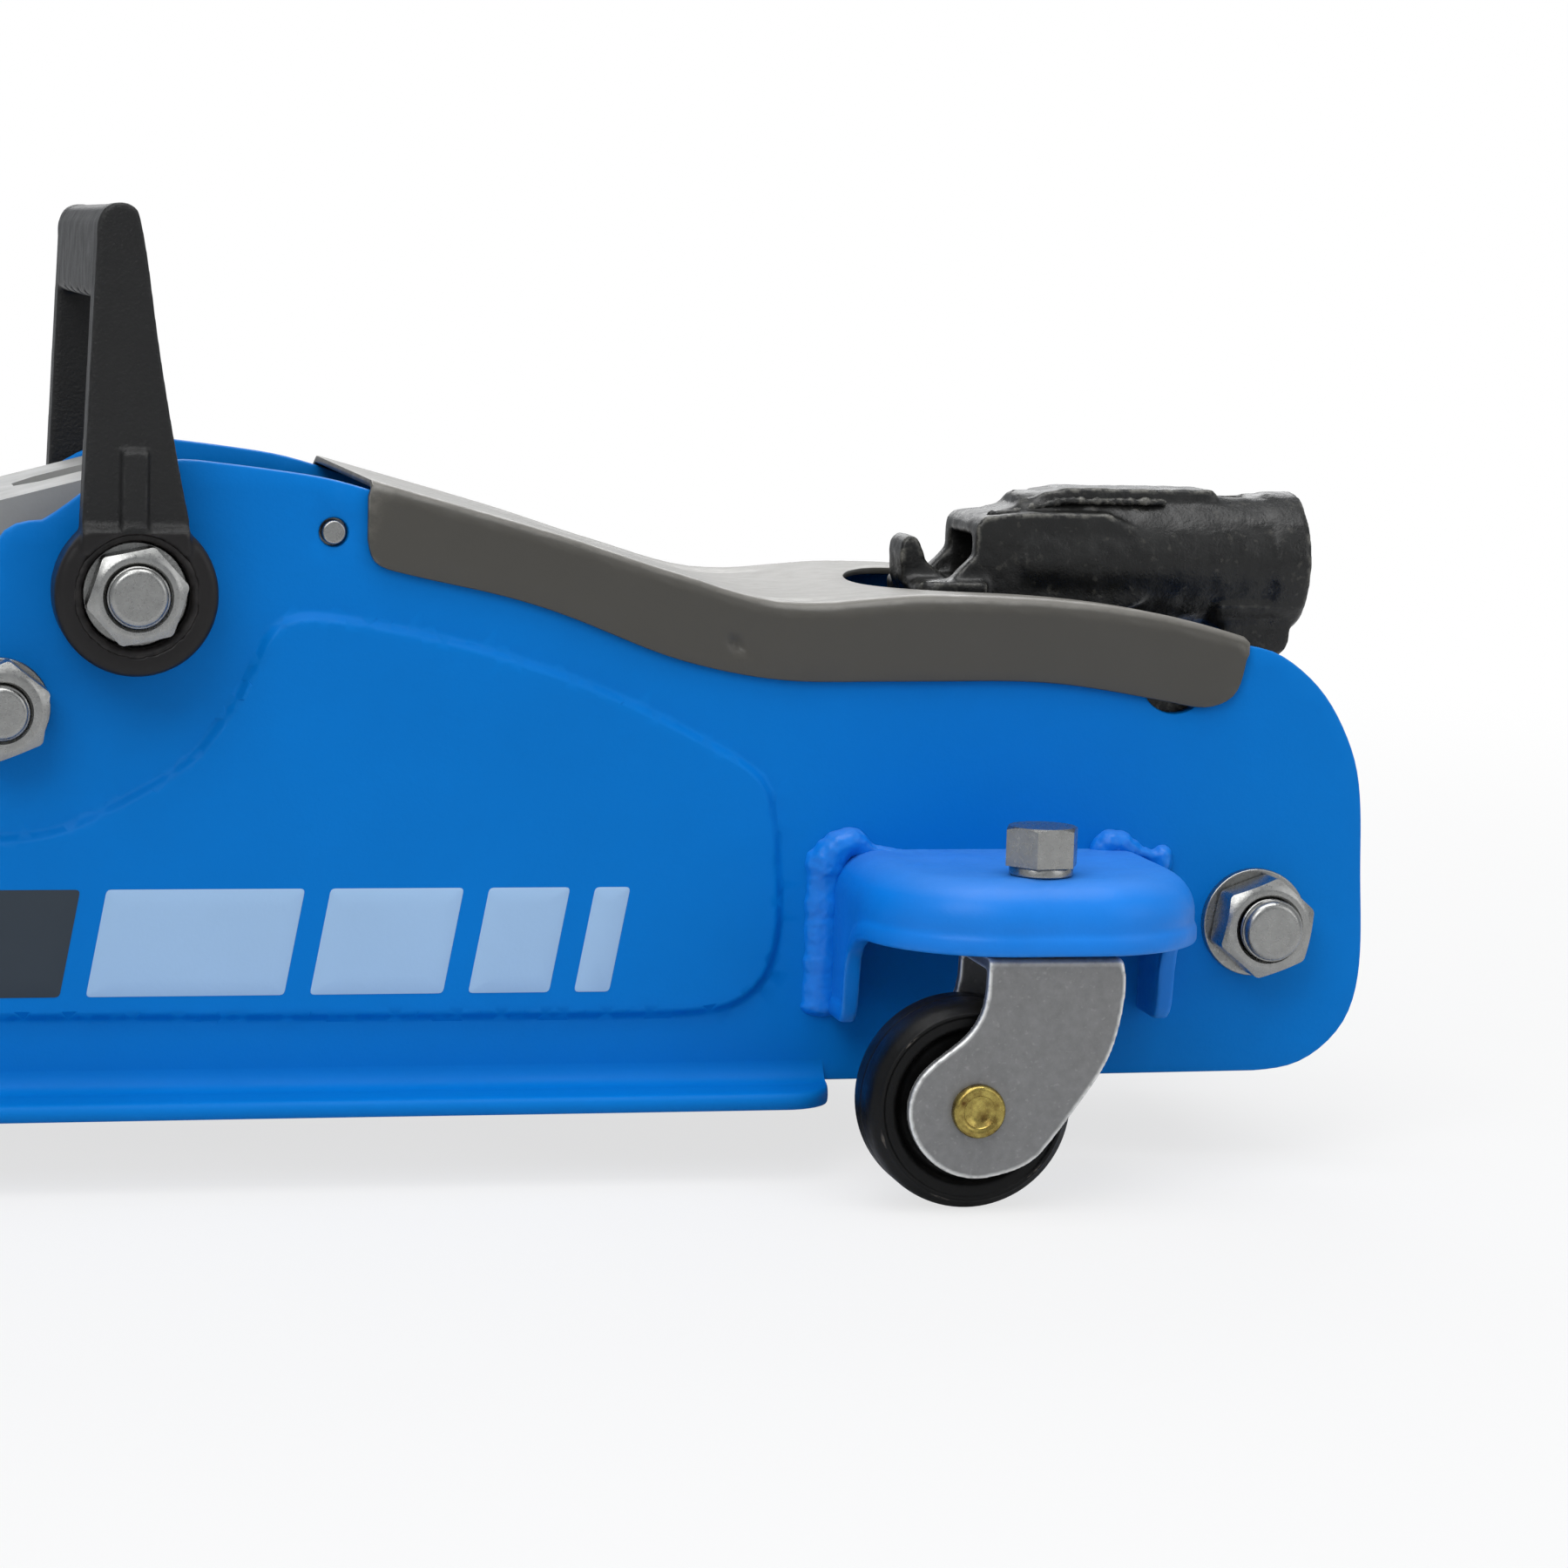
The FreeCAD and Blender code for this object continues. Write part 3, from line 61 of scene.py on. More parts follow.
# ------------------------------------------------------------------ small tools
def spline(pts, step):
    """A natural cubic spline through the points, sampled about every step."""
    p = np.array(pts, float)
    d = np.hypot(*(p[1:] - p[:-1]).T)
    t = np.concatenate([[0], np.cumsum(d)])
    n = len(p)
    if n == 2:
        m = np.zeros((2, 2))
    else:
        A = np.zeros((n, n)); b = np.zeros((n, 2))
        A[0, 0] = A[-1, -1] = 1
        for i in range(1, n - 1):
            A[i, i - 1] = d[i - 1]; A[i, i] = 2 * (d[i - 1] + d[i]); A[i, i + 1] = d[i]
            b[i] = 6 * ((p[i + 1] - p[i]) / d[i] - (p[i] - p[i - 1]) / d[i - 1])
        m = np.linalg.solve(A, b)
    k = max(2, int(round(t[-1] / step)) + 1)
    out = []
    for s in np.linspace(0, t[-1], k):
        i = min(max(int(np.searchsorted(t, s, side="right")) - 1, 0), n - 2)
        h = d[i]; a = (t[i + 1] - s) / h; c = (s - t[i]) / h
        out.append(a * p[i] + c * p[i + 1] + ((a ** 3 - a) * m[i] + (c ** 3 - c) * m[i + 1]) * h * h / 6)
    return [tuple(v) for v in out]


def dense(pts, step):
    out = []
    for q, r in zip(pts[:-1], pts[1:]):
        k = max(1, int(round(math.dist(q, r) / step)))
        out += [(q[0] + (r[0] - q[0]) * i / k, q[1] + (r[1] - q[1]) * i / k) for i in range(k)]
    return out + [tuple(pts[-1])]


def tidy(pts, eps=0.02):
    out = []
    for q in pts:
        if not out or math.dist(q, out[-1]) > eps:
            out.append(tuple(q))
    if math.dist(out[0], out[-1]) <= eps:
        out.pop()
    return out


def area(pts):
    p = np.array(pts)
    q = np.roll(p, -1, axis=0)
    return float(np.sum(p[:, 0] * q[:, 1] - q[:, 0] * p[:, 1]) / 2)


def inset(pts, d):
    s = 1 if area(pts) > 0 else -1
    p = np.array(pts, float)
    e1 = p - np.roll(p, 1, axis=0)
    e2 = np.roll(p, -1, axis=0) - p
    n1 = np.stack([-e1[:, 1], e1[:, 0]], 1) / np.linalg.norm(e1, axis=1)[:, None] * s
    n2 = np.stack([-e2[:, 1], e2[:, 0]], 1) / np.linalg.norm(e2, axis=1)[:, None] * s
    m = n1 + n2
    k = 2 / np.maximum((m ** 2).sum(1), 1.0)
    return [tuple(v) for v in p + m * k[:, None] * d]


def seg_dist(q, loop):
    """Distance of every point q to a closed loop, and whether it is inside."""
    q = np.array(q, float)
    a = np.array(loop, float)
    b = np.roll(a, -1, axis=0)
    best = np.full(len(q), 1e9)
    inside = np.zeros(len(q), bool)
    for p0, p1 in zip(a, b):
        e = p1 - p0
        L = float(e @ e) or 1e-12
        t = np.clip(((q - p0) @ e) / L, 0, 1)
        best = np.minimum(best, np.hypot(*(q - p0 - t[:, None] * e).T))
        cond = (p0[1] > q[:, 1]) != (p1[1] > q[:, 1])
        if abs(e[1]) > 1e-12:
            x = p0[0] + (q[:, 1] - p0[1]) / e[1] * e[0]
            inside ^= cond & (q[:, 0] < x)
    return best, inside


def make(name, verts, faces, body, material, replaces=(), sharp=38.0):
    me = bpy.data.meshes.new(name)
    me.from_pydata([tuple(v) for v in verts], [], faces)
    bm = bmesh.new(); bm.from_mesh(me)
    bmesh.ops.remove_doubles(bm, verts=bm.verts, dist=2e-6)
    bmesh.ops.dissolve_degenerate(bm, edges=bm.edges, dist=1e-7)
    bmesh.ops.recalc_face_normals(bm, faces=bm.faces)
    bm.to_mesh(me); bm.free()
    return dress(name, me, body, material, replaces, sharp)


def dress(name, me, body, material, replaces=(), sharp=38.0):
    me.polygons.foreach_set("use_smooth", [True] * len(me.polygons))
    if sharp:
        me.set_sharp_from_angle(angle=math.radians(sharp))
    o = bpy.data.objects.new(name, me)
    scene.collection.objects.link(o)
    me.materials.clear()
    me.materials.append(material)
    if body:
        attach(o, body)
    if replaces:
        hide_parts(*replaces)
    return o


def flip_y(verts):
    return [(v[0], -v[1], v[2]) for v in verts]


def sheet(outer, holes, step, fmap, thick, rim, is_open=None, extra=()):
    """A pressed sheet: the flat outline, filled with a fine grid and mapped to its outer and inner faces, with rounded cut edges."""
    outer = tidy(outer)
    if area(outer) < 0:
        outer = outer[::-1]
    loops = [(outer, 1)] + [(tidy(h) if area(h) > 0 else tidy(h)[::-1], -1) for h in holes]
    pts, edges, depth = [], [], []
    for lp, s in loops:
        for k, e in ((0.0, rim), (0.3 * rim, 0.3 * rim), (rim, 0.0)):
            q = inset(lp, s * k) if k else lp
            base = len(pts)
            for i, u in enumerate(q):
                op = is_open is not None and is_open(*lp[i])
                pts.append((u[0], u[1] if not op else lp[i][1] + (k if lp[i][1] < 60 else -k)))
                depth.append(0.0 if op else e)
            edges += [(base + i, base + (i + 1) % len(q)) for i in range(len(q))]
    lo = np.min(np.array(outer), axis=0); hi = np.max(np.array(outer), axis=0)
    gx = np.arange(lo[0], hi[0], step); gz = np.arange(lo[1], hi[1], step * 0.866)
    g = [(x + (step / 2 if j % 2 else 0), z) for j, z in enumerate(gz) for x in gx] + list(extra)
    g = np.array(g)
    d, ins = seg_dist(g, outer)
    keep = ins & (d > rim + step * 0.45)
    for lp, s in loops[1:]:
        d, ins = seg_dist(g, lp)
        keep &= (~ins) & (d > rim + step * 0.45)
    g = g[keep]
    for u in g:
        pts.append((float(u[0]), float(u[1]))); depth.append(0.0)
    vs, es, fs, ov, oe, of = delaunay_2d_cdt([Vector(p) for p in pts], edges, [], 1, 1e-5)
    dep = []
    for i, v in enumerate(vs):
        dep.append(min((depth[k] for k in ov[i]), default=0.0))
    cent = np.array([((vs[f[0]] + vs[f[1]] + vs[f[2]]) / 3)[:] for f in fs])
    ok = np.ones(len(fs), bool)
    d, ins = seg_dist(cent, outer)
    ok &= ins
    for lp, s in loops[1:]:
        d, ins = seg_dist(cent, lp)
        ok &= ~ins
    fs = [tuple(f) for f, k in zip(fs, ok) if k]
    n = len(vs)
    uv = np.array([v[:] for v in vs])
    top = fmap(uv, np.array(dep))
    bot = fmap(uv, thick - np.array(dep))
    faces = list(fs) + [tuple(n + i for i in f[::-1]) for f in fs]
    count = {}
    for f in fs:
        for a, b in zip(f, f[1:] + f[:1]):
            count[(a, b)] = 1
    for (a, b) in list(count):
        if (b, a) not in count:
            if is_open is not None and is_open(*uv[a]) and is_open(*uv[b]):
                continue
            faces.append((b, a, n + a, n + b))
    verts = [P(*v) for v in np.concatenate([top, bot])]
    return verts, faces


def lathe(profile, centre, axis, n=72):
    """profile: (radius, distance along the axis) in mm, open or closed."""
    d = {"x": (1, 0, 0), "y": (0, 1, 0), "z": (0, 0, 1)}[axis]
    a = {"x": (0, 1, 0), "y": (1, 0, 0), "z": (1, 0, 0)}[axis]
    d, a = Vector(d), Vector(a)
    b = d.cross(a)
    c = Vector(centre)
    verts, faces = [], []
    m = len(profile)
    for i in range(n):
        t = 2 * math.pi * i / n
        for r, s in profile:
            v = c + d * s + (a * math.cos(t) + b * math.sin(t)) * r
            verts.append(P(*v))
    closed = math.dist(profile[0], profile[-1]) < 1e-6
    for i in range(n):
        for j in range(m - 1):
            i1 = (i + 1) % n
            faces.append((i * m + j, i * m + j + 1, i1 * m + j + 1, i1 * m + j))
    return verts, faces


def rounded(pts, r, seg=4):
    """Rounds the inner corners of an open polyline."""
    out = [pts[0]]
    for a, b, c in zip(pts[:-2], pts[1:-1], pts[2:]):
        a, b, c = np.array(a, float), np.array(b, float), np.array(c, float)
        l1, l2 = np.linalg.norm(a - b), np.linalg.norm(c - b)
        k = min(r, l1 * 0.45, l2 * 0.45)
        p, q = b + (a - b) / l1 * k, b + (c - b) / l2 * k
        for i in range(seg + 1):
            t = i / seg
            out.append(tuple((1 - t) ** 2 * p + 2 * t * (1 - t) * b + t * t * q))
    return out + [pts[-1]]


def tube(points, r, n=10, cap=True):
    pts = [Vector(p) for p in points]
    verts, faces = [], []
    T = [(pts[min(i + 1, len(pts) - 1)] - pts[max(i - 1, 0)]).normalized() for i in range(len(pts))]
    up = Vector((0, 1, 0)) if abs(T[0].y) < 0.8 else Vector((0, 0, 1))
    N = (up - T[0] * up.dot(T[0])).normalized()
    for i, p in enumerate(pts):
        if i:
            q = T[i - 1].rotation_difference(T[i])
            N = q @ N
            N = (N - T[i] * N.dot(T[i])).normalized()
        B = T[i].cross(N)
        rr = r[i] if isinstance(r, (list, tuple)) else r
        for j in range(n):
            t = 2 * math.pi * j / n
            verts.append(P(*(p + (N * math.cos(t) + B * math.sin(t)) * rr)))
    for i in range(len(pts) - 1):
        for j in range(n):
            k = (j + 1) % n
            faces.append((i * n + j, i * n + k, (i + 1) * n + k, (i + 1) * n + j))
    if cap:
        faces.append(tuple(range(n))[::-1])
        faces.append(tuple((len(pts) - 1) * n + j for j in range(n)))
    return verts, faces


def join(*parts):
    verts, faces = [], []
    for v, f in parts:
        k = len(verts)
        verts += list(v)
        faces += [tuple(i + k for i in q) for q in f]
    return verts, faces


def evaluated(o, drop=True):
    dg = bpy.context.evaluated_depsgraph_get()
    me = bpy.data.meshes.new_from_object(o.evaluated_get(dg))
    if drop:
        old = o.data
        bpy.data.objects.remove(o)
        if old.users == 0:
            bpy.data.meshes.remove(old)
    return me


def recast(names, voxel, smooth, rough=0.0, rough_scale=300.0, factor=0.5):
    """The same shape with its edges rounded as a casting's or moulding's are: a voxel skin, relaxed, and a little uneven."""
    bm = bmesh.new()
    for n in names:
        bm.from_mesh(nodes[n].data)
    me = bpy.data.meshes.new("tmp")
    bm.to_mesh(me); bm.free()
    o = bpy.data.objects.new("tmp", me)
    scene.collection.objects.link(o)
    m = o.modifiers.new("r", "REMESH")
    m.mode = "VOXEL"; m.voxel_size = voxel / 1000.0; m.adaptivity = 0.0
    s = o.modifiers.new("s", "SMOOTH")
    s.factor = factor; s.iterations = smooth
    bpy.context.view_layer.update()
    out = evaluated(o)
    if rough:
        co = np.zeros(len(out.vertices) * 3); out.vertices.foreach_get("co", co)
        no = np.zeros(len(out.vertices) * 3); out.vertices.foreach_get("normal", no)
        co, no = co.reshape(-1, 3), no.reshape(-1, 3)
        for i in range(len(co)):
            v = Vector(co[i]) * rough_scale
            k = noise.noise(v) + 0.5 * noise.noise(v * 2.3)
            co[i] += no[i] * k * rough / 1000.0
        out.vertices.foreach_set("co", co.ravel())
    return out


# ------------------------------------------------------------------ materials
def lin(r, g, b):
    def f(c):
        c /= 255.0
        return c / 12.92 if c <= 0.04045 else ((c + 0.055) / 1.055) ** 2.4
    return (f(r), f(g), f(b), 1.0)


def material(name, col, rough, metal=0.0, coat=0.0, var=0.12, var_scale=45.0, dark=None, peel=(2600.0, 0.02), grain=(260.0, 0.0),
             rough_var=0.12, stretch=None, edge_wear_and_highlight=None, edge_wear_and_highlight_amt=0.0, spec=0.5, specks=None, dust=0.0, edge=(0.53, 0.60), broken=(0.40, 0.62)):
    m = bpy.data.materials.new(name)
    m.use_nodes = True
    nt = m.node_tree
    nt.nodes.clear()
    N, L = nt.nodes, nt.links
    out = N.new("ShaderNodeOutputMaterial"); b = N.new("ShaderNodeBsdfPrincipled")
    L.new(b.outputs[0], out.inputs[0])
    tc = N.new("ShaderNodeTexCoord")
    vec = tc.outputs["Object"]
    if stretch:
        mp = N.new("ShaderNodeMapping"); mp.inputs["Scale"].default_value = stretch
        L.new(vec, mp.inputs["Vector"]); vec_s = mp.outputs[0]
    else:
        vec_s = vec

    def tex(scale, detail=4.0, rough_=0.55, v=None):
        t = N.new("ShaderNodeTexNoise")
        t.inputs["Scale"].default_value = scale; t.inputs["Detail"].default_value = detail
        t.inputs["Roughness"].default_value = rough_
        L.new(v or vec, t.inputs["Vector"])
        return t.outputs["Fac"]

    def remap(src, a, c, lo=0.3, hi=0.7):
        r = N.new("ShaderNodeMapRange")
        r.inputs["From Min"].default_value = lo; r.inputs["From Max"].default_value = hi
        r.inputs["To Min"].default_value = a; r.inputs["To Max"].default_value = c
        L.new(src, r.inputs["Value"])
        return r.outputs[0]

    def mix(fac, a, c):
        x = N.new("ShaderNodeMix"); x.data_type = "RGBA"
        L.new(fac, x.inputs["Factor"])
        for sock, v in ((x.inputs[6], a), (x.inputs[7], c)):
            if isinstance(v, tuple):
                sock.default_value = v
            else:
                L.new(v, sock)
        return x.outputs[2]

    lo = dark or tuple(c * (1 - var) for c in col[:3]) + (1.0,)
    hi = tuple(min(1.0, c * (1 + var) + 0.0) for c in col[:3]) + (1.0,)
    c = mix(remap(tex(var_scale, 5.0, 0.6, vec_s), 0.0, 1.0), lo, hi)
    if specks:
        sc, amt, sc_col = specks
        c = mix(remap(tex(sc, 2.0, 0.5), 0.0, amt, 0.62, 0.72), c, sc_col)
    if dust:
        g = N.new("ShaderNodeNewGeometry")
        sep = N.new("ShaderNodeSeparateXYZ"); L.new(g.outputs["Normal"], sep.inputs[0])
        mul = N.new("ShaderNodeMath"); mul.operation = "MULTIPLY"
        L.new(remap(sep.outputs["Z"], 0.0, dust, 0.55, 1.0), mul.inputs[0]); L.new(remap(tex(70.0, 6.0, 0.7), 0.84, 1.0), mul.inputs[1])
        c = mix(mul.outputs[0], c, lin(190, 186, 178))
    # light edge colour on convex edges (pointiness), broken up by noise: real edge wear on some finishes, and a painted
    # highlight along edges that catch the light on the blue plates, the black casting and the fork
    if edge_wear_and_highlight:
        g = N.new("ShaderNodeNewGeometry")
        mul = N.new("ShaderNodeMath"); mul.operation = "MULTIPLY"
        L.new(remap(g.outputs["Pointiness"], 0.0, 1.0, *edge), mul.inputs[0])
        L.new(remap(tex(400.0, 5.0, 0.7), 0.0, edge_wear_and_highlight_amt, *broken), mul.inputs[1])
        c = mix(mul.outputs[0], c, edge_wear_and_highlight)
    L.new(c, b.inputs["Base Color"])
    L.new(remap(tex(var_scale * 3.1, 4.0, 0.6, vec_s), max(0.02, rough - rough_var), min(1.0, rough + rough_var)), b.inputs["Roughness"])
    b.inputs["Metallic"].default_value = metal
    b.inputs["Specular IOR Level"].default_value = spec
    if coat:
        b.inputs["Coat Weight"].default_value = coat
        b.inputs["Coat Roughness"].default_value = 0.22
    last = None
    for scale, dist in (grain, peel):
        if dist:
            bp = N.new("ShaderNodeBump"); bp.inputs["Strength"].default_value = 1.0
            bp.inputs["Distance"].default_value = dist / 1000.0
            L.new(tex(scale, 3.0, 0.6, vec_s if stretch else None), bp.inputs["Height"])
            if last is not None:
                L.new(last, bp.inputs["Normal"])
            last = bp.outputs[0]
    if last is not None:
        L.new(last, b.inputs["Normal"])
    return m


# the light-blue edge colour is a painted highlight along the plates' cut edges, where a lit bevel catches the light
BLUE = material("blue_paint", lin(0, 110, 192), 0.46, var=0.05, var_scale=14.0, peel=(900.0, 0.04), grain=(110.0, 0.05),
                rough_var=0.08, edge_wear_and_highlight=lin(60, 155, 238), edge_wear_and_highlight_amt=0.5, spec=0.08)
BLUE_W = material("blue_weld", lin(8, 118, 212), 0.36, var=0.10, var_scale=120.0, peel=(1200.0, 0.05), grain=(420.0, 0.10),
                  rough_var=0.08, edge_wear_and_highlight=lin(96, 170, 244), edge_wear_and_highlight_amt=0.6, spec=0.30, dust=0.08)
BLUE_B = material("blue_bracket", lin(6, 118, 212), 0.42, var=0.06, var_scale=40.0, peel=(1000.0, 0.045), grain=(160.0, 0.06),
                  rough_var=0.08, edge_wear_and_highlight=lin(90, 170, 240), edge_wear_and_highlight_amt=0.5, dust=0.07, spec=0.26)
COVER = material("cover_paint", lin(66, 64, 59), 0.36, var=0.025, var_scale=60.0, peel=(1400.0, 0.03), grain=(140.0, 0.04),
                 rough_var=0.07, edge_wear_and_highlight=lin(150, 146, 136), edge_wear_and_highlight_amt=0.45, dust=0.34, spec=0.4)
ZINC = material("zinc", lin(154, 154, 152), 0.30, metal=1.0, var=0.09, var_scale=420.0, peel=(2600.0, 0.02), grain=(500.0, 0.02),
                rough_var=0.08, specks=(900.0, 0.14, lin(90, 90, 90)))
# the near-white edge colour is a painted highlight along the fork's pressed edges
ZINC2 = material("fork_zinc", lin(126, 126, 126), 0.42, metal=0.6, var=0.10, var_scale=520.0, peel=(2200.0, 0.035), grain=(420.0, 0.02),
                 rough_var=0.08, edge_wear_and_highlight=lin(226, 226, 224), edge_wear_and_highlight_amt=1.0, spec=0.3, edge=(0.508, 0.54), broken=(0.2, 0.5), specks=(1100.0, 0.25, lin(168, 168, 166)))
YELLOW = material("yellow_zinc", lin(168, 152, 84), 0.28, metal=1.0, var=0.3, var_scale=420.0, dark=lin(96, 70, 36), peel=(2600.0, 0.02), rough_var=0.1,
                  )
# the light edge colour is a painted highlight along the casting's ridges and edges, standing in for specular glints
CAST = material("black_casting", lin(22, 22, 21), 0.34, var=0.3, var_scale=90.0, peel=(1500.0, 0.08), grain=(330.0, 0.16),
                rough_var=0.12, edge_wear_and_highlight=lin(140, 138, 130), edge_wear_and_highlight_amt=0.85, specks=(520.0, 0.3, lin(84, 82, 76)), spec=0.40, edge=(0.515, 0.57), broken=(0.44, 0.62))
IRON = material("saddle_iron", lin(36, 36, 35), 0.46, metal=0.3, var=0.2, var_scale=120.0, peel=(1300.0, 0.06), grain=(300.0, 0.12),
                rough_var=0.12, edge_wear_and_highlight=lin(140, 138, 132), edge_wear_and_highlight_amt=0.8, spec=0.35)
PLASTIC = material("black_plastic", lin(23, 23, 23), 0.44, var=0.10, var_scale=60.0, peel=(1500.0, 0.20), grain=(800.0, 0.08),
                   rough_var=0.07, edge_wear_and_highlight=lin(104, 104, 102), edge_wear_and_highlight_amt=0.5, spec=0.30)
HUB = material("black_plastic_hub", lin(22, 20, 20), 0.38, var=0.10, var_scale=60.0, peel=(2100.0, 0.03), grain=(800.0, 0.02),
               rough_var=0.07, edge_wear_and_highlight=lin(96, 92, 90), edge_wear_and_highlight_amt=0.5, spec=0.28)
WHEEL = material("wheel_black", lin(9, 9, 9), 0.40, var=0.15, var_scale=80.0, peel=(1500.0, 0.05), grain=(600.0, 0.04), rough_var=0.1, dust=0.03, spec=0.2,
                 edge_wear_and_highlight=lin(130, 122, 114), edge_wear_and_highlight_amt=0.6)
ARM = material("arm_steel", lin(150, 150, 148), 0.42, var=0.06, var_scale=40.0, peel=(1200.0, 0.035), grain=(150.0, 0.05), rough_var=0.08,
               spec=0.3)
ROD = material("rod_grey", lin(60, 61, 63), 0.42, var=0.1, var_scale=60.0, peel=(1300.0, 0.04), rough_var=0.1, spec=0.3)
CHROME = material("chrome_rod", lin(200, 200, 198), 0.12, metal=1.0, var=0.05, var_scale=300.0, peel=(2600.0, 0.006), rough_var=0.05)
STEEL = material("steel_wheel", lin(108, 108, 106), 0.36, metal=0.9, var=0.14, var_scale=110.0, peel=(2200.0, 0.03), rough_var=0.12,
                 stretch=(1.0, 6.0, 1.0))
SPRING = material("spring_steel", lin(112, 112, 108), 0.32, metal=1.0, var=0.14, var_scale=300.0, peel=(2600.0, 0.015), rough_var=0.08)
RUBBER = material("seal_rubber", lin(22, 22, 22), 0.62, var=0.12, var_scale=120.0, peel=(1700.0, 0.03), rough_var=0.08, spec=0.25)
DECAL_L = material("decal_light", lin(150, 182, 216), 0.40, var=0.02, var_scale=30.0, peel=(900.0, 0.03), rough_var=0.05, spec=0.2)
DECAL_D = material("decal_slate", lin(50, 58, 66), 0.40, var=0.04, var_scale=30.0, peel=(900.0, 0.03), rough_var=0.05, spec=0.2)
SLOT = {"blue_paint": BLUE, "cover_paint": COVER, "zinc": ZINC, "yellow_zinc": YELLOW, "fork_zinc": ZINC2, "black_casting": CAST,
        "arm_steel": ARM, "rod_grey": ROD, "chrome_rod": CHROME, "black_plastic": PLASTIC, "wheel_black": WHEEL, "steel_wheel": STEEL,
        "saddle_iron": IRON, "spring_steel": SPRING, "seal_rubber": RUBBER, "blue_bead": BLUE_W}
for sp in frame["record"]["subparts"]:
    o = nodes[sp["node"]]
    o.data.materials.clear()
    o.data.materials.append(SLOT[sp["material_slot"]])
    o.data.polygons.foreach_set("use_smooth", [True] * len(o.data.polygons))
    o.data.set_sharp_from_angle(angle=math.radians(32))

# ------------------------------------------------------------------ side plates
TOP = [(14.5, 139.0), (21.1, 138.3), (31.1, 137.1), (38.0, 136.0), (45.0, 134.2)]
UNDER = [(45.0, 134.2), (61.2, 129.4), (74.9, 125.7), (88.7, 121.7), (99.1, 118.4), (109.6, 115.3), (120.2, 112.2),
         (127.2, 110.9), (137.8, 110.9), (153.7, 112.3), (166.2, 112.4), (180.7, 111.9), (195.2, 110.6),
         (206.2, 108.9), (217.4, 106.3), (224.7, 105.2)]
outer = spline([(-16.7, 127.4), (-13.3, 129.6), (-9.7, 132.4), (-5.0, 135.4), (0.0, 137.6), (6.0, 138.9), (9.7, 139.3)] + TOP, 3.0)
outer += spline(UNDER, 3.0)
outer += spline([(224.7, 105.2), (229.2, 104.3), (234.9, 101.2), (240.7, 95.9), (245.8, 87.9), (248.6, 80.7), (249.8, 73.6),
                 (250.5, 59.2), (251.2, 46.0), (250.9, 36.7), (248.5, 28.4), (244.1, 23.0), (238.0, 19.3), (229.2, 17.9)], 2.5)
outer += dense([(229.2, 17.9), (141.0, 17.4), (138.2, 17.4), (138.2, 21.5), (-182.0, 21.5), (-182.0, 14.0)], 3.0)
outer += spline([(-182.0, 14.0), (-190.0, 12.6), (-198.0, 9.2), (-205.0, 6.9), (-213.0, 6.4), (-221.0, 8.2), (-227.5, 13.2),
                 (-231.2, 20.6), (-231.6, 28.6), (-228.6, 36.4), (-222.4, 42.4), (-214.0, 45.8)], 2.5)
outer += spline([(-214.0, 45.8), (-200.0, 49.5), (-180.0, 56.0), (-150.0, 65.6), (-120.0, 74.6), (-90.0, 83.2), (-66.0, 90.2),
                 (-50.0, 95.6), (-40.0, 100.8), (-33.0, 107.2), (-28.6, 114.4), (-26.2, 120.6), (-24.2, 124.8), (-21.6, 126.6),
                 (-16.7, 127.4)], 2.5)
PANEL = [(-24.3, 67.5), (-14.5, 68.8), (-4.6, 73), (3.6, 77.5), (11, 82.6), (16.0, 88.6), (20.2, 95.0), (23.0, 100.8),
         (24.6, 105), (27.5, 108.6), (32.3, 110.4), (41.6, 109.8), (55.1, 107.4), (68.8, 104.1), (82.6, 99.8), (96.6, 94.4),
         (110.7, 87.5), (119.6, 82.7), (125.1, 78), (127.4, 71.0), (128.6, 59.7), (128.9, 49.2), (127.4, 40.8),
         (123.6, 35.0), (117.5, 31.8), (109.0, 30.8), (80.0, 30.6), (40.0, 30.8), (0.0, 31.2), (-40.0, 31.4), (-80.0, 31.4),
         (-108.0, 31.6), (-121.0, 32.8), (-128.0, 36.4), (-130.0, 41.2), (-127.6, 46.2), (-120.0, 50.4), (-107.0, 55.4),
         (-88.0, 60.8), (-68.0, 65.0), (-50.0, 67.2), (-36.0, 67.6)]
PANEL = tidy(spline(PANEL + [PANEL[0]], 3.0))


def circle(x, z, r, n=28):
    return [(x + r * math.cos(2 * math.pi * i / n), z + r * math.sin(2 * math.pi * i / n)) for i in range(n)]


def smooth(t):
    t = np.clip(t, 0, 1)
    return t * t * (3 - 2 * t)


def panel_height(uv):
    d, ins = seg_dist(uv, PANEL)
    s = np.where(ins, d, -d)
    h = 1.8 * smooth((s + 0.3) / 2.2)
    return h


def plate_map(uv, depth):
    h = panel_height(uv)
    return np.stack([uv[:, 0], -46.0 - h + depth, uv[:, 1]], 1)


ring = []
for k in (-0.7, -0.3, 0.1, 0.5, 0.9, 1.3, 1.7, 2.1, 3.0):
    ring += inset(PANEL, k)
plate_v, plate_f = sheet(outer, [circle(38.5, 125.9, 2.75, 20), circle(209.0, 98.5, 7.0, 36), circle(-150.0, 27.5, 5.1, 20)],
                         4.2, plate_map, 3.5, 0.7, lambda x, z: abs(z - 21.5) < 0.01, ring)


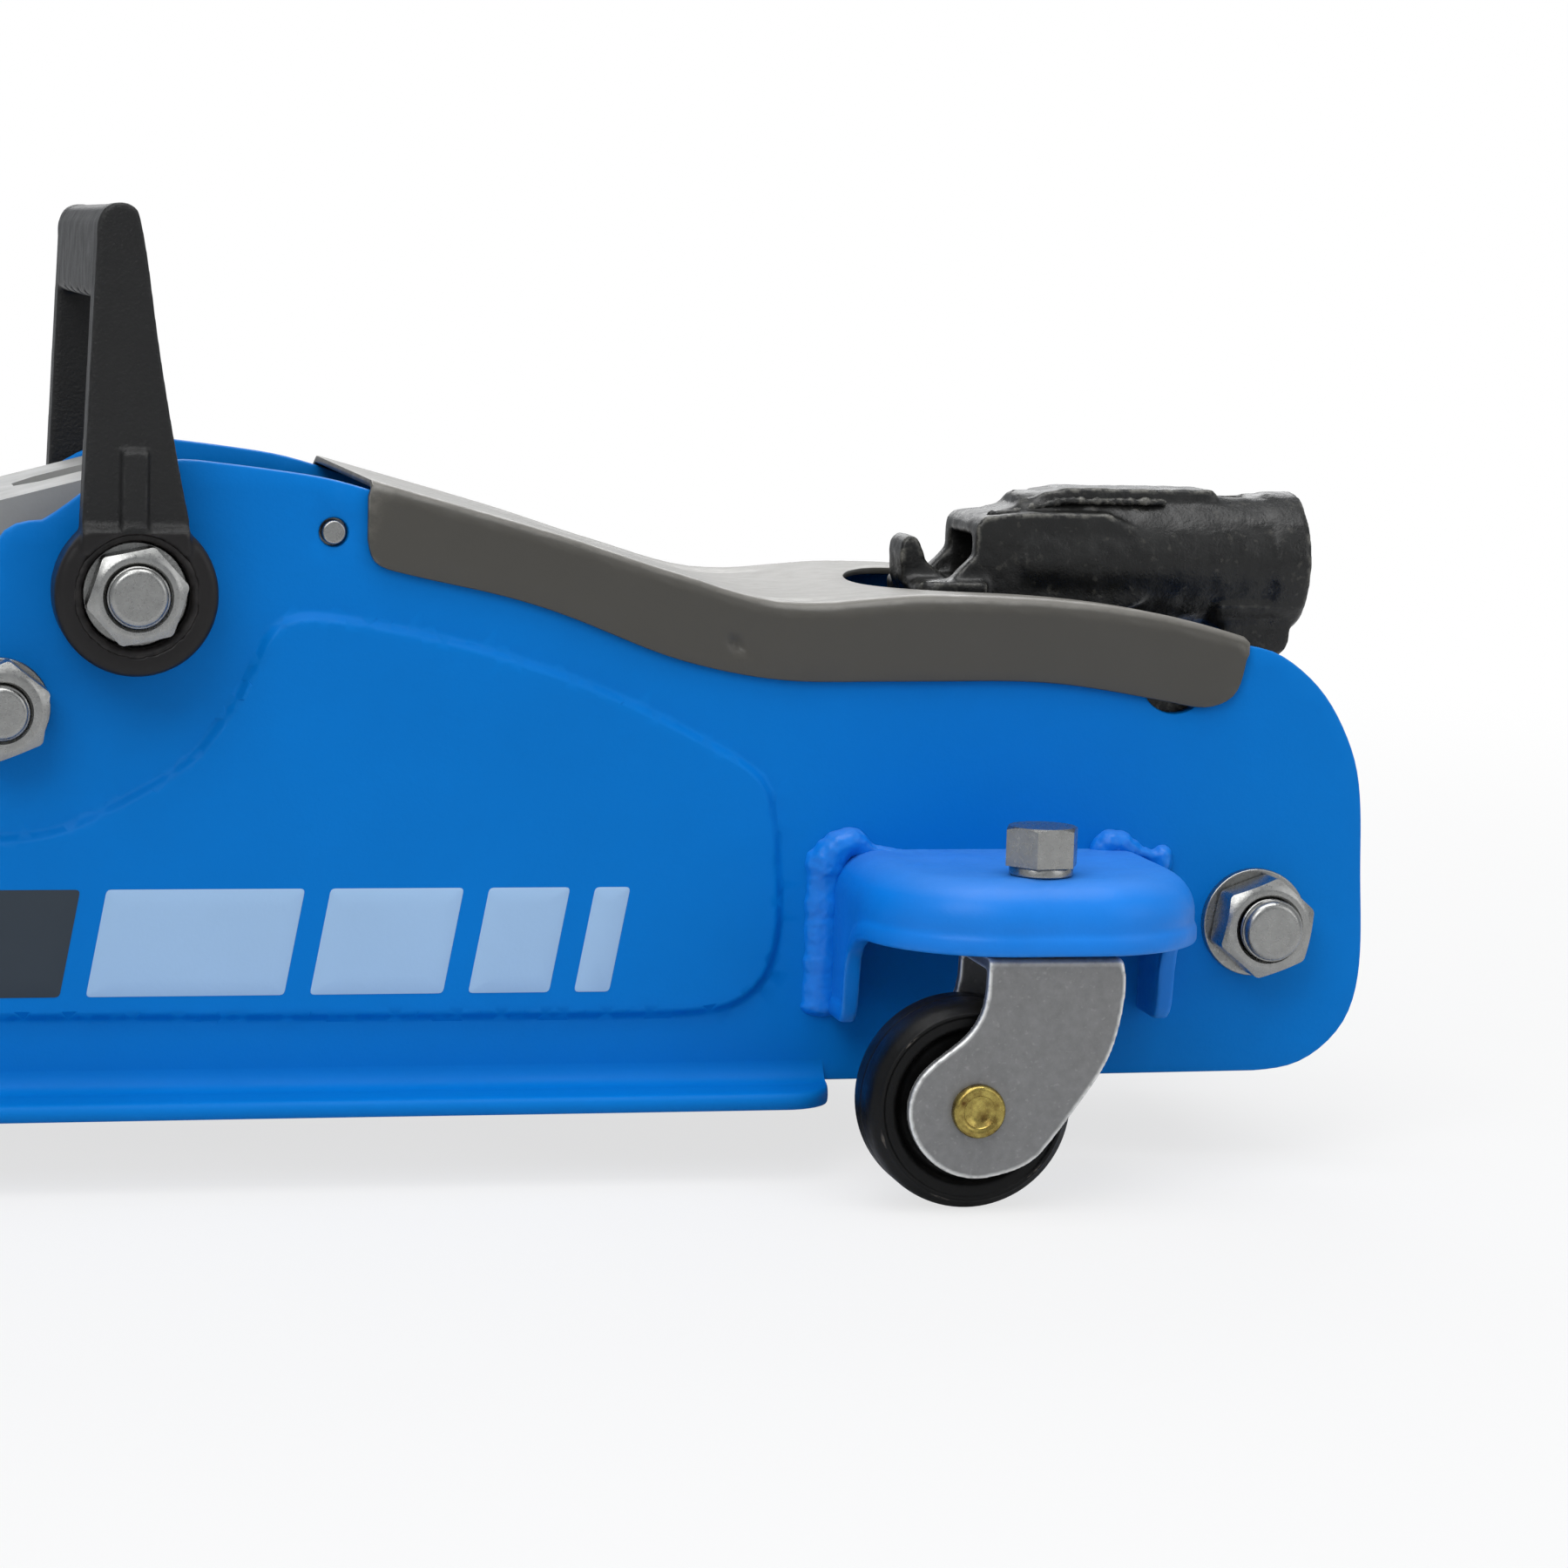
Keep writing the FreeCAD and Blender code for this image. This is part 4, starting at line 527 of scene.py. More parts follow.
def flange():
    xs = [-182.0 + 10 * (1 - math.cos(math.radians(t))) for t in range(0, 91, 9)]
    xs += list(np.linspace(-170.0, 126.0, 76)) + [138.2 - 10 * (1 - math.cos(math.radians(t))) for t in range(90, -1, -9)]
    verts, faces = [], []
    for x in xs:
        e = min(x + 182.0, 138.2 - x)
        k = 10 - math.sqrt(max(0.0, 100 - (10 - e) ** 2)) if e < 10 else 0.0
        yf = -60.0 + k
        wave = 0.10 * math.sin(x * 0.05) * (1 if e > 10 else 0)
        prof = [(-50 + 4 * math.cos(t), 21.5 + 4 * math.sin(t)) for t in np.linspace(0, -math.pi / 2, 9)]
        lip = [(yf + 1.5 - 1.5 * math.sin(t), 15.75 + 1.75 * math.cos(t)) for t in np.linspace(0, math.pi, 9)]
        prof += [((-50 * (1 - q) + (yf + 1.5) * q), 17.5) for q in (0.33, 0.66)]
        prof += [(a + wave, b) for a, b in lip]
        prof += [((-50 * q + (yf + 1.5) * (1 - q)), 14.0) for q in (0.33, 0.66)]
        prof += [(-50 + 7.5 * math.cos(t), 21.5 + 7.5 * math.sin(t)) for t in np.linspace(-math.pi / 2, 0, 11)]
        m = len(prof)
        verts += [P(x, y, z) for y, z in prof]
    n = len(xs)
    for i in range(n - 1):
        for j in range(m - 1):
            faces.append((i * m + j, i * m + j + 1, (i + 1) * m + j + 1, (i + 1) * m + j))
    faces.append(tuple(range(m)))
    faces.append(tuple((n - 1) * m + j for j in range(m))[::-1])
    return verts, faces


near = join((plate_v, plate_f), flange())
make("side_plate_near_skin", near[0], near[1], "frame", BLUE, ["side_plate_near"])
make("side_plate_far_skin", flip_y(near[0]), near[1], "frame", BLUE, ["side_plate_far"])

# ------------------------------------------------------------------ decal: plain slanted bars, on the pressed panel
def bar(x0, x1, z0, z1, slant, r=0.9):
    q = [(x0, z0), (x1, z0), (x1 + slant, z1), (x0 + slant, z1)]
    q = rounded([q[-1]] + q + [q[0]], r, 3)
    return tidy(q[1:-1])


def decal(bars, mat, name):
    pv, pf = [], []
    for b in bars:
        def fmap(uv, depth):
            h = panel_height(uv)
            return np.stack([uv[:, 0], -46.0 - h - 0.10 + depth, uv[:, 1]], 1)
        v, f = sheet(b, [], 4.0, fmap, 0.07, 0.02)
        k = len(pv); pv += v; pf += [tuple(i + k for i in q) for q in f]
    make(name + "_near", pv, pf, "frame", mat)
    make(name + "_far", flip_y(pv), pf, "frame", mat)


Z0, Z1, SL = 36.2, 57.0, 3.8
decal([bar(-8.0, 30.0, Z0, Z1, SL), bar(35.0, 61.0, Z0, Z1, SL), bar(66.0, 82.0, Z0, Z1, SL), bar(87.0, 94.0, Z0, Z1, SL)], DECAL_L, "stripe_light")
decal([bar(-104.0, -96.0, Z0, Z1 - 6.5, SL * 0.7), bar(-91.0, -60.0, Z0, Z1 - 2.5, SL * 0.9), bar(-55.0, -13.0, Z0, Z1, SL)], DECAL_D, "stripe_slate")

# ------------------------------------------------------------------ cover
COVER_TOP = [(45.7, 136.1), (61.2, 131.9), (74.9, 128.2), (88.7, 124.2), (99.1, 120.9), (109.6, 117.8), (120.2, 114.7),
             (128.0, 113.4), (137.8, 113.4), (153.7, 114.8), (166.2, 114.9), (180.7, 114.4), (195.2, 113.1), (206.2, 111.4),
             (217.4, 108.8), (224.1, 106.9)]
COVER_LOW = [(224.1, 106.9), (222.9, 99.6), (221.2, 95.4), (216.2, 92.9), (208.8, 93.6), (195.9, 95.9), (181.3, 97.7),
             (163.2, 97.9), (145.4, 97.7), (127.7, 97.9), (115.3, 99.6), (103.1, 102.8), (92.6, 106.8), (82.1, 110.8),
             (68.4, 114.6), (58.1, 116.7), (50.4, 118.4), (46.4, 120.2), (44.9, 124.6), (45.7, 136.1)]
ct = np.array(spline(COVER_TOP, 1.0))
cs = np.gradient(ct[:, 1], ct[:, 0])
CR, CW = 3.4, 47.75
T0 = CW - CR                      # where the bend starts
T1 = T0 + CR * math.pi / 2        # where the wall starts


def ztop(x):
    x = np.asarray(x, float)
    z = np.interp(x, ct[:, 0], ct[:, 1])
    z = np.where(x < ct[0, 0], ct[0, 1] + (x - ct[0, 0]) * cs[0], z)
    return np.where(x > ct[-1, 0], ct[-1, 1] + (x - ct[-1, 0]) * cs[-1], z)


def cover_map(uv, depth):
    x, t = uv[:, 0], uv[:, 1]
    a = np.abs(t); sg = np.where(t < 0, -1.0, 1.0)
    s = np.interp(x, ct[:, 0], cs)
    nx, nz = -s / np.sqrt(1 + s * s), 1 / np.sqrt(1 + s * s)
    phi = np.clip((a - T0) / CR, 0, math.pi / 2)
    R = CR - depth
    zc = ztop(x) - CR * nz
    xc = x - CR * nx
    flat_y = np.minimum(a, T0)
    wall = np.maximum(a - T1, 0)
    X = xc + R * np.cos(phi) * nx + CR * nx * np.sin(phi)
    Y = flat_y + R * np.sin(phi)
    Z = zc + R * np.cos(phi) * nz - wall
    # a slight hollow across the top, and one dent low on the near wall
    Z = Z - 0.7 * np.clip(1 - (a / T0) ** 2, 0, 1) * smooth((x - 60) / 40) * (a < T0)
    Z = Z - 0.55 * np.exp(-(((a - (T0 - 9.0)) / 2.6) ** 2)) * smooth((x - 62) / 30) * smooth((146 - x) / 16) * (a < T0)
    wd = float(ztop(118.0)) - CR - 104.9
    g = 1.35 * np.exp(-(((x - 118.0) / 1.5) ** 2 + ((wall - wd) / 1.4) ** 2)) * (wall > 0)
    g -= 0.45 * np.exp(-(((x - 119.2) / 1.6) ** 2 + ((wall - wd - 2.6) / 1.0) ** 2)) * (wall > 0)
    g += 0.25 * np.exp(-(((x - 118.0) / 4.5) ** 2 + ((wall - wd) / 4.0) ** 2)) * (wall > 0)
    Y = Y - 0.8 * g * (t < 0)
    return np.stack([X, sg * Y, Z], 1)


def low(x, z, s):
    return (x, s * (T1 + (float(ztop(x)) - CR) - z))


loop = [low(x, z, -1) for x, z in spline(COVER_LOW[:5], 1.6) + spline(COVER_LOW[4:-3], 2.5) + spline(COVER_LOW[-4:-1], 1.6) if z < float(ztop(x)) - CR]
loop += dense([(44.9, -T1), (45.7, -T0), (45.7, T0), (44.9, T1)], 3.0)
loop += [low(x, z, 1) for x, z in (spline(COVER_LOW[:5], 1.6) + spline(COVER_LOW[4:-3], 2.5) + spline(COVER_LOW[-4:-1], 1.6))[::-1] if z < float(ztop(x)) - CR]
loop += dense([(224.0, T1), (224.1, T0), (224.1, 33.5)], 2.5)
loop += [(222.6, 32.0)] + dense([(221.0, 32.0), (176.0, 32.0)], 3.0)
loop += [(168.5 - 32.0 * math.sin(t) * 0.5 + 0.0, 32.0 * math.cos(t)) for t in np.linspace(0.0, math.pi, 30)]
loop += dense([(176.0, -32.0), (221.0, -32.0)], 3.0) + [(222.6, -32.0)]
loop += dense([(224.1, -33.5), (224.1, -T0), (224.0, -T1)], 2.5)
bend = [(x, s * (T0 + CR * math.pi / 2 * k)) for x in np.arange(47.0, 223.5, 3.0) for k in (-0.12, 0.0, 0.17, 0.33, 0.5, 0.67, 0.83, 1.0, 1.12) for s in (-1, 1)]
bend += [(x, s * (T0 - k)) for x in np.arange(50.0, 148.0, 3.0) for k in (14.0, 12.0, 10.5, 9.0, 7.5, 6.0, 4.0) for s in (-1, 1)]
WD = T1 + float(ztop(118.0)) - CR - 104.9
bend += [(118.0 + i * 0.75, -(WD + j * 0.75)) for i in range(-7, 8) for j in range(-5, 7) if WD + j * 0.75 > T1 + 1.2 and low(118.0 + i * 0.75, 100.6, 1)[1] > WD + j * 0.75]
cv, cf = sheet(loop, [], 4.0, cover_map, 1.5, 0.45, None, bend)
make("cover_skin", cv, cf, "frame", COVER, ["cover_plate"])

# ------------------------------------------------------------------ caster brackets
def bracket():
    x0, x1, y0, r = 138.6, 206.6, 94.6, 26.0
    path = [(x0, -y, (-1, 0)) for y in np.linspace(46.0, y0 - r, 22)]
    for t in np.linspace(0, math.pi / 2, 20)[1:]:
        path.append((x0 + r - r * math.cos(t), -(y0 - r) - r * math.sin(t), (-math.cos(t), -math.sin(t))))
    for x in np.linspace(x0 + r, x1 - r, 8)[1:]:
        path.append((x, -y0, (0, -1)))
    for t in np.linspace(0, math.pi / 2, 20)[1:]:
        path.append((x1 - r + r * math.sin(t), -(y0 - r) - r * math.cos(t), (math.sin(t), -math.cos(t))))
    for y in np.linspace(y0 - r, 46.0, 22)[1:]:
        path.append((x1, -y, (1, 0)))
    by = [46.0, 56.6, 58.4, 59.4, 60.2, 61.8, 64.6, 68.5, 73.0, 95.0]
    bz = [31.0, 31.0, 32.2, 35.0, 42.5, 45.6, 47.6, 49.2, 50.0, 50.0]

    def ring_at(x, y, n, back=0.0):
        zb = float(np.interp(-y, by, bz))
        R, t = 8.2, 3.2
        prof = []
        for a in np.linspace(math.pi / 2, 0.0, 12):
            prof.append((0.55 + R - R * math.cos(a), 64.0 - R + R * math.sin(a)))
        for z in [(64.0 - R) * (1 - k) + (zb + 4.6) * k for k in (0.3, 0.7, 1.0)] + [zb + 4.0, zb + 3.4, zb + 2.8, zb + 1.6]:
            prof.append((0.55 * float(smooth((z - zb - 2.6) / 1.6)) - 0.25 * math.exp(-((z - zb - 4.4) / 0.6) ** 2) * 0, z))
        prof += [(0.0, zb + 0.7), (0.25, zb + 0.2), (0.8, zb), (t - 0.8, zb), (t - 0.25, zb + 0.2), (t, zb + 0.7)]
        prof += [(t, 64.0 - R)]
        for a in np.linspace(0, math.pi / 2, 6)[1:]:
            prof.append((R - (R - t) * math.cos(a), 64.0 - R + (R - t) * math.sin(a)))
        return [P(x - n[0] * i, y - n[1] * i, z) for i, z in prof], len(prof)

    verts, faces = [], []
    for x, y, n in path:
        v, m = ring_at(x, y, n)
        verts += v
    N_ = len(path)
    for i in range(N_ - 1):
        for j in range(m - 1):
            faces.append((i * m + j, i * m + j + 1, (i + 1) * m + j + 1, (i + 1) * m + j))
    faces.append(tuple(range(m)))
    faces.append(tuple((N_ - 1) * m + j for j in range(m))[::-1])
    # the flat top, in rings towards the bolt, and its underside
    for j, z in ((0, 64.0), (m - 1, 60.7)):
        edge = [i * m + j for i in range(N_)]
        prev = edge
        for k in (0.25, 0.6, 0.82):
            cur = []
            for e in edge:
                v = verts[e]
                cx, cy = (171.7 + SHIFT) / 1000, -0.0815
                q = Vector((v.x * (1 - k) + cx * k, v.y * (1 - k) + cy * k, v.z))
                if v.y > -0.0465:
                    pass
                cur.append(len(verts)); verts.append(q)
            for a in range(N_ - 1):
                faces.append((prev[a], prev[a + 1], cur[a + 1], cur[a]))
            faces.append((prev[-1], prev[0], cur[0], cur[-1]))
            prev = cur
        faces.append(tuple(prev))
    return verts, faces


bv, bf = bracket()
make("caster_bracket_near_skin", bv, bf, "frame", BLUE_B, ["caster_bracket_near"], 50.0)
make("caster_bracket_far_skin", flip_y(bv), bf, "frame", BLUE_B, ["caster_bracket_far"], 50.0)


def blobs(spots, seed, soft=3):
    """Weld metal: overlapping drops, skinned and relaxed."""
    bm = bmesh.new()
    for i, (x, y, z, rx, ry, rz) in enumerate(spots):
        m = Matrix.Translation(P(x, y, z)) @ Matrix.Diagonal((rx / 1000, ry / 1000, rz / 1000, 1))
        bmesh.ops.create_icosphere(bm, subdivisions=3, radius=1.0, matrix=m)
    me = bpy.data.meshes.new("w"); bm.to_mesh(me); bm.free()
    o = bpy.data.objects.new("w", me); scene.collection.objects.link(o)
    r = o.modifiers.new("r", "REMESH"); r.mode = "VOXEL"; r.voxel_size = 0.00045
    s = o.modifiers.new("s", "SMOOTH"); s.factor = 0.5; s.iterations = soft
    bpy.context.view_layer.update()
    out = evaluated(o)
    for v in out.vertices:
        v.co += v.normal * 0.00016 * noise.noise(Vector(v.co) * 900 + Vector((seed, 0, 0)))
    return out


for side, sy in (("near", -1), ("far", 1)):
    spots = []
    for x, s in ((138.6, -1), (206.6, 1)):
        z = 32.6
        wide = 3.9 if s < 0 else 1.6
        while z < 63.5:
            k = noise.noise(Vector((z * 0.35, s * 3.1, sy)))
            spots.append((x + s * (0.9 + 0.4 * k), sy * (45.1 + 0.25 * k), z, wide + 0.5 + 0.5 * k, 3.2 + 0.4 * k, 2.4))
            z += 1.5
        if s < 0:
            for dx, dz, rx, rz, ry in ((-0.6, 60.5, 3.8, 2.6, 2.8), (-0.4, 62.4, 3.9, 2.8, 3.1), (0.6, 64.0, 3.9, 2.9, 3.3), (2.0, 65.2, 3.8, 2.8, 3.4), (3.6, 65.8, 3.4, 2.7, 3.2), (5.0, 65.2, 2.8, 2.4, 2.6), (6.2, 64.2, 2.6, 1.9, 2.0)):
                spots.append((x + dx, sy * 45.8, dz, rx + 0.2, ry + 0.5, rz + 0.1))
            for j in range(4):
                spots.append((x + 7.6 + 2.0 * j, sy * 45.8, 63.8 - 0.2 * j, 2.4, 1.8, 1.6 - 0.2 * j))
        else:
            for dx, dz, rx, rz, ry in ((-11.8, 64.0, 2.6, 2.6, 2.6), (-10.2, 65.3, 3.0, 2.7, 3.1), (-8.4, 65.2, 3.0, 2.6, 3.0), (-6.6, 64.2, 2.8, 2.2, 2.5), (-4.8, 63.6, 2.0, 1.3, 1.8), (-3.0, 63.2, 1.8, 1.1, 1.5), (-1.2, 62.6, 1.7, 1.1, 1.5), (0.2, 61.6, 1.7, 1.4, 1.5)):
                spots.append((x + dx, sy * 45.6, dz, rx + 0.2, ry + 0.5, rz + 0.1))
    me = blobs(spots, 3.0 * sy, 9)
    o = dress("weld_beads_%s_skin" % side, me, "frame", BLUE_W, ["weld_beads"] if side == "near" else (), 60.0)

# ------------------------------------------------------------------ castings and mouldings: same shapes, softened edges
dress("handle_socket_cast", recast(["handle_socket"], 0.75, 5, 0.16, 260.0), "handle_socket", CAST, ["handle_socket"], 60.0)
seam = []
for j in range(22):
    k = noise.noise(Vector((j * 1.3, 7.0, 0.0)))
    x = 180.0 + 1.75 * j
    z = 129.2 + 3.1 * float(smooth((x - 180.0) / 18.0)) - 0.4 + 0.3 * k
    seam.append((x, -8.3 - 0.3 * k, z, 1.3, 0.9 + 0.2 * k, 0.9 + 0.3 * k))
dress("handle_socket_seam", blobs(seam, 11.0), "handle_socket", CAST, (), 60.0)
dress("power_unit_cast", recast(["power_unit_base"], 1.0, 5, 0.16, 240.0), "frame", CAST, ["power_unit_base"], 60.0)
me = recast(["carry_handle"], 0.6, 3, 0.0)
for v in me.vertices:
    # the legs' outer faces lie 1.6 mm behind the hubs', with a sloped shoulder between
    x, y, z = v.co.x * 1000 - SHIFT, abs(v.co.y) * 1000, v.co.z * 1000
    if y > 58.5 and z > 124.0:
        k = 2.1 * float(smooth((z - 126.2) / 2.0)) * float(smooth((y - 58.5) / 2.0))
        v.co.y -= math.copysign(k / 1000, v.co.y)
o = dress("carry_handle_moulding", me, "carry_handle", PLASTIC, ["carry_handle"], 60.0)
o.data.materials.append(HUB)
for f in o.data.polygons:
    if f.center.z < 0.1262:
        f.material_index = 1
for v in o.data.vertices:
    # the short rib at the foot of each leg
    x, y, z = v.co.x * 1000 - SHIFT, abs(v.co.y) * 1000, v.co.z * 1000
    if y > 57.5 and 126.0 < z < 143.0:
        k = float(smooth((x + 3.5) / 0.8) * smooth((2.3 - x) / 0.8) * smooth((z - 126.6) / 0.8) * smooth((141.9 - z) / 0.8))
        v.co.y += math.copysign(1.0 * k / 1000, v.co.y)
for side, sy in (("near", -1), ("far", 1)):
    v, f = lathe([(r, sy * t) for r, t in ((10.15, 55.5), (10.15, 60.2), (10.5, 60.75), (11.2, 60.9), (11.9, 60.9), (11.9, 55.5), (10.15, 55.5))],
                 (0.0, 0.0, 114.5), "y", 96)
    make("carry_handle_seat_ring_" + side, v, f, "carry_handle", HUB, (), 60.0)
dress("saddle_cast", recast(["saddle"], 0.7, 4, 0.10, 260.0), "saddle", IRON, ["saddle"], 60.0)
dress("saddle_base_cast", recast(["saddle_base"], 0.9, 5, 0.14, 260.0), "saddle_base", IRON, ["saddle_base"], 60.0)

for side in ("near", "far"):
    dress("caster_fork_%s_pressed" % side, recast(["caster_fork_" + side], 0.45, 2, 0.0), "caster_swivel_" + side, ZINC2, ["caster_fork_" + side], 60.0)

for side, sy in (("near", -1), ("far", 1)):
    ys = [sy * v.co.y * 1000 for v in nodes["caster_rivet_" + side].data.vertices]
    yo = max(ys)
    v, f = lathe([(r, sy * (yo + t)) for r, t in ((0.0, -1.05), (1.5, -1.05), (2.3, -0.85), (3.2, -0.25), (3.9, 0.08), (4.5, 0.08), (5.0, -0.25), (5.2, -0.9), (5.2, -1.9))],
                 (157.5, 0.0, 20.3), "y", 72)
    make("caster_rivet_%s_head" % side, v, f, "caster_swivel_" + side, YELLOW, (), 60.0)
vv = []
for sy in (-1, 1):
    vv.append(lathe([(4.1, 64.02), (5.9, 64.02), (6.2, 64.3), (6.2, 65.5), (5.9, 65.95), (4.1, 65.95), (4.1, 64.02)], (171.7, sy * 81.5, 0.0), "z", 72))
v, f = join(*vv)
make("caster_washers_turned", v, f, "frame", ZINC, ["caster_king_washers"], 40.0)

# ------------------------------------------------------------------ wheels
def caster_wheel(sy):
    h = 7.9
    half = rounded([(3.2, h - 0.3), (7.0, h - 0.3), (7.9, h - 1.7), (14.4, h - 1.7), (15.2, h - 0.1), (17.3, h - 0.1), (17.7, h + 0.25), (18.2, h + 0.25), (18.7, h - 0.4), (19.9, h - 1.7), (20.3, h - 3.4), (20.3, 0.35), (20.12, 0.0)], 0.9, 4)
    prof = half + [(r, -t) for r, t in half[::-1]]
    return lathe(prof, (157.5, sy * 81.5, 20.3), "y", 96)


def front_wheel(sy):
    h = 8.0
    half = rounded([(6.07, h - 0.2), (11.0, h - 0.2), (12.0, h - 2.0), (20.5, h - 2.0), (21.5, h), (24.0, h), (25.0, h - 1.4), (25.0, 0.0)], 0.8, 4)
    prof = half + [(r, -t) for r, t in half[::-1]]
    return lathe(prof, (-212.0, sy * 33.8, 25.0), "y", 96)


for side, sy in (("near", -1), ("far", 1)):
    v, f = caster_wheel(sy)
    make("caster_wheel_%s_tread" % side, v, f, "caster_wheel_" + side, WHEEL, ["caster_wheel_" + side], 50.0)
    v, f = front_wheel(sy)
    make("front_wheel_%s_turned" % side, v, f, "front_wheel_" + side, STEEL, ["front_wheel_" + side], 50.0)

# ------------------------------------------------------------------ nuts and stud ends
def nut_mesh(x, z, y_in, y_out, af, bore, turn):
    """A hexagon nut round an axis along y, chamfered at both faces; y_out is the seen end."""
    s = 1 if y_out > y_in else -1
    h = abs(y_out - y_in)
    n = 144
    rh = af / 2
    rc = rh * 0.90
    rows = [("r", bore + 0.25, 0.9), ("r", bore + 0.8, 0.14), ("r", bore + 1.0, 0.0), ("r", (bore + rc) / 2 + 0.4, 0.0), ("r", rc - 0.25, 0.0),
            ("c", 0.0, 0.05), ("c", 0.5, 0.0), ("c", 1.0, 0.0), ("h", 0, 0.0), ("d", 1.0, 0.0), ("d", 0.0, 0.0), ("r", bore + 0.3, h)]
    m = len(rows)
    verts, faces = [], []
    for i in range(n):
        t = 2 * math.pi * i / n
        q = t % (math.pi / 3) - math.pi / 6
        # flats with a small radius at the six corners
        hexr = min(rh / math.cos(q), rh * 1.132)
        t += math.radians(turn)
        for kind, r, d in rows:
            if kind == "r":
                rr, dd = r, d
            elif kind == "c":
                rr = rc + (hexr - rc) * r; dd = d + (rr - rc) * 0.62
            elif kind == "h":
                rr, dd = hexr, h / 2
            else:
                rr = rc + (hexr - rc) * r; dd = h - (rr - rc) * 0.5
            verts.append(P(x + rr * math.cos(t), y_out - s * dd, z + rr * math.sin(t)))
    for i in range(n):
        k = (i + 1) % n
        for j in range(m):
            j1 = (j + 1) % m
            faces.append((i * m + j, i * m + j1, k * m + j1, k * m + j))
    return verts, faces


v, f = join(nut_mesh(0.0, 114.5, -56.9, -64.4, 17.0, 5.6, 12), nut_mesh(0.0, 114.5, 56.9, 64.4, 17.0, 5.6, 12))
make("shaft_nuts_turned", v, f, "frame", ZINC, ["shaft_nuts"], 30.0)
v, f = join(nut_mesh(227.4, 49.0, -47.8, -57.0, 18.0, 6.0, 20), nut_mesh(-150.0, 27.5, -47.6, -54.4, 16.0, 5.0, 8),
            nut_mesh(-24.6, 91.8, -47.6, -55.8, 17.0, 5.0, 22), nut_mesh(-24.6, 91.8, 47.6, 55.8, 17.0, 5.0, 22))
make("frame_nuts_turned", v, f, "frame", ZINC, ["frame_nuts"], 30.0)


def stud_threads(x, z, y0, y1, r):
    """The last turns of a thread, standing out of its nut."""
    s = 1 if y1 > y0 else -1
    L = abs(y1 - y0)
    n = 40
    turns = max(1, int(L / 1.25))
    pts = []
    for i in range(int(L / 1.25 * n) + 1):
        t = 2 * math.pi * i / n
        pts.append(Vector((x + (r + 0.02) * math.cos(t), y0 + s * 1.25 * i / n, z + (r + 0.02) * math.sin(t))))
    return tube(pts, 0.28, 6)


v, f = join(stud_threads(0.0, 114.5, -63.9, -65.3, 5.6), stud_threads(0.0, 114.5, 63.9, 65.3, 5.6),
            stud_threads(227.4, 49.0, -56.4, -59.2, 6.0), stud_threads(-24.6, 91.8, -55.2, -56.9, 5.0),
            stud_threads(-24.6, 91.8, 55.2, 56.9, 5.0), stud_threads(-150.0, 27.5, -54.0, -55.4, 5.0))
make("stud_end_threads", v, f, "frame", ZINC, (), 60.0)

# ------------------------------------------------------------------ springs
lev = math.radians(33.5)
LX, LZ = 42.0 * math.sin(lev), 114.5 - 42.0 * math.cos(lev)
A = Vector((38.5, 0, 125.9)); B = Vector((LX, 0, LZ))
D = (B - A).normalized(); Ln = (B - A).length
S = Vector((0, 1, 0)); U = D.cross(S)


def return_spring(y):
    o = Vector((0, y, 0))
    pts = []
    r0, r1, rc = 3.4, 5.4, 3.3
    a0, a1 = 9.0, Ln - 11.0
    for i in range(19):                       # hook round the anchor pin
        t = math.radians(-200 + 215 * i / 18)
        pts.append(A + o + (-D * math.cos(t) + U * math.sin(t)) * -r0 if False else A + o + (D * math.cos(t) + U * math.sin(t)) * r0)
    turns = 13
    n = turns * 18
    for i in range(n + 1):
        t = 2 * math.pi * i / 18
        k = i / n
        pts.append(A + o + D * (a0 + (a1 - a0) * k) + (U * math.cos(t) + S * math.sin(t)) * rc)
    for i in range(19):
        t = math.radians(165 - 215 * i / 18)
        pts.append(B + o + (D * math.cos(t) + U * math.sin(t)) * r1)
    return tube(pts, 0.7, 10)


for side, y in (("near", -24.6), ("far", 24.6)):
    v, f = return_spring(y)
    o = make("return_spring_%s_coil" % side, v, f, None, SPRING, (), 60.0)
    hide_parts("return_spring_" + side)
    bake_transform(o)

PUMP_X = 186.0 + 12.0 * (1 + math.cos(math.radians(36.0))) / 2
pts = []
for i in range(5 * 20 + 1):
    t = 2 * math.pi * i / 20
    k = i / 100
    z = 67.1 + (77.1 - 0.8 - 67.1) * (k * k * (3 - 2 * k) * 0.3 + k * 0.7)
    pts.append(Vector((PUMP_X + 8.9 * math.cos(t), 8.9 * math.sin(t), z)))
v, f = tube(pts, 0.75, 10)
o = make("pump_spring_coil", v, f, None, SPRING, (), 60.0)
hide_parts("pump_spring")
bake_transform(o)

# ------------------------------------------------------------------ bevelled hard edges on the carried-over steel pieces
for n, w in (("lift_arm", 0.5), ("tie_rod_near", 0.5), ("tie_rod_far", 0.5),
             ("ram_head", 0.6), ("caster_king_bolts", 0.3), ("washers", 0.15)):
    b = nodes[n].modifiers.new("edge", "BEVEL")
    b.width = w / 1000.0; b.segments = 3; b.limit_method = "ANGLE"; b.angle_limit = math.radians(38)
    b.harden_normals = False

# ------------------------------------------------------------------ floor, light, camera
me = bpy.data.meshes.new("floor")
bm = bmesh.new()
bmesh.ops.create_grid(bm, x_segments=8, y_segments=8, size=6.0)
bm.to_mesh(me); bm.free()
floor = bpy.data.objects.new("floor", me)
scene.collection.objects.link(floor)
fm = material("floor", (0.62, 0.62, 0.62, 1.0), 0.7, var=0.01, var_scale=2.0, peel=(40.0, 0.0), rough_var=0.04)
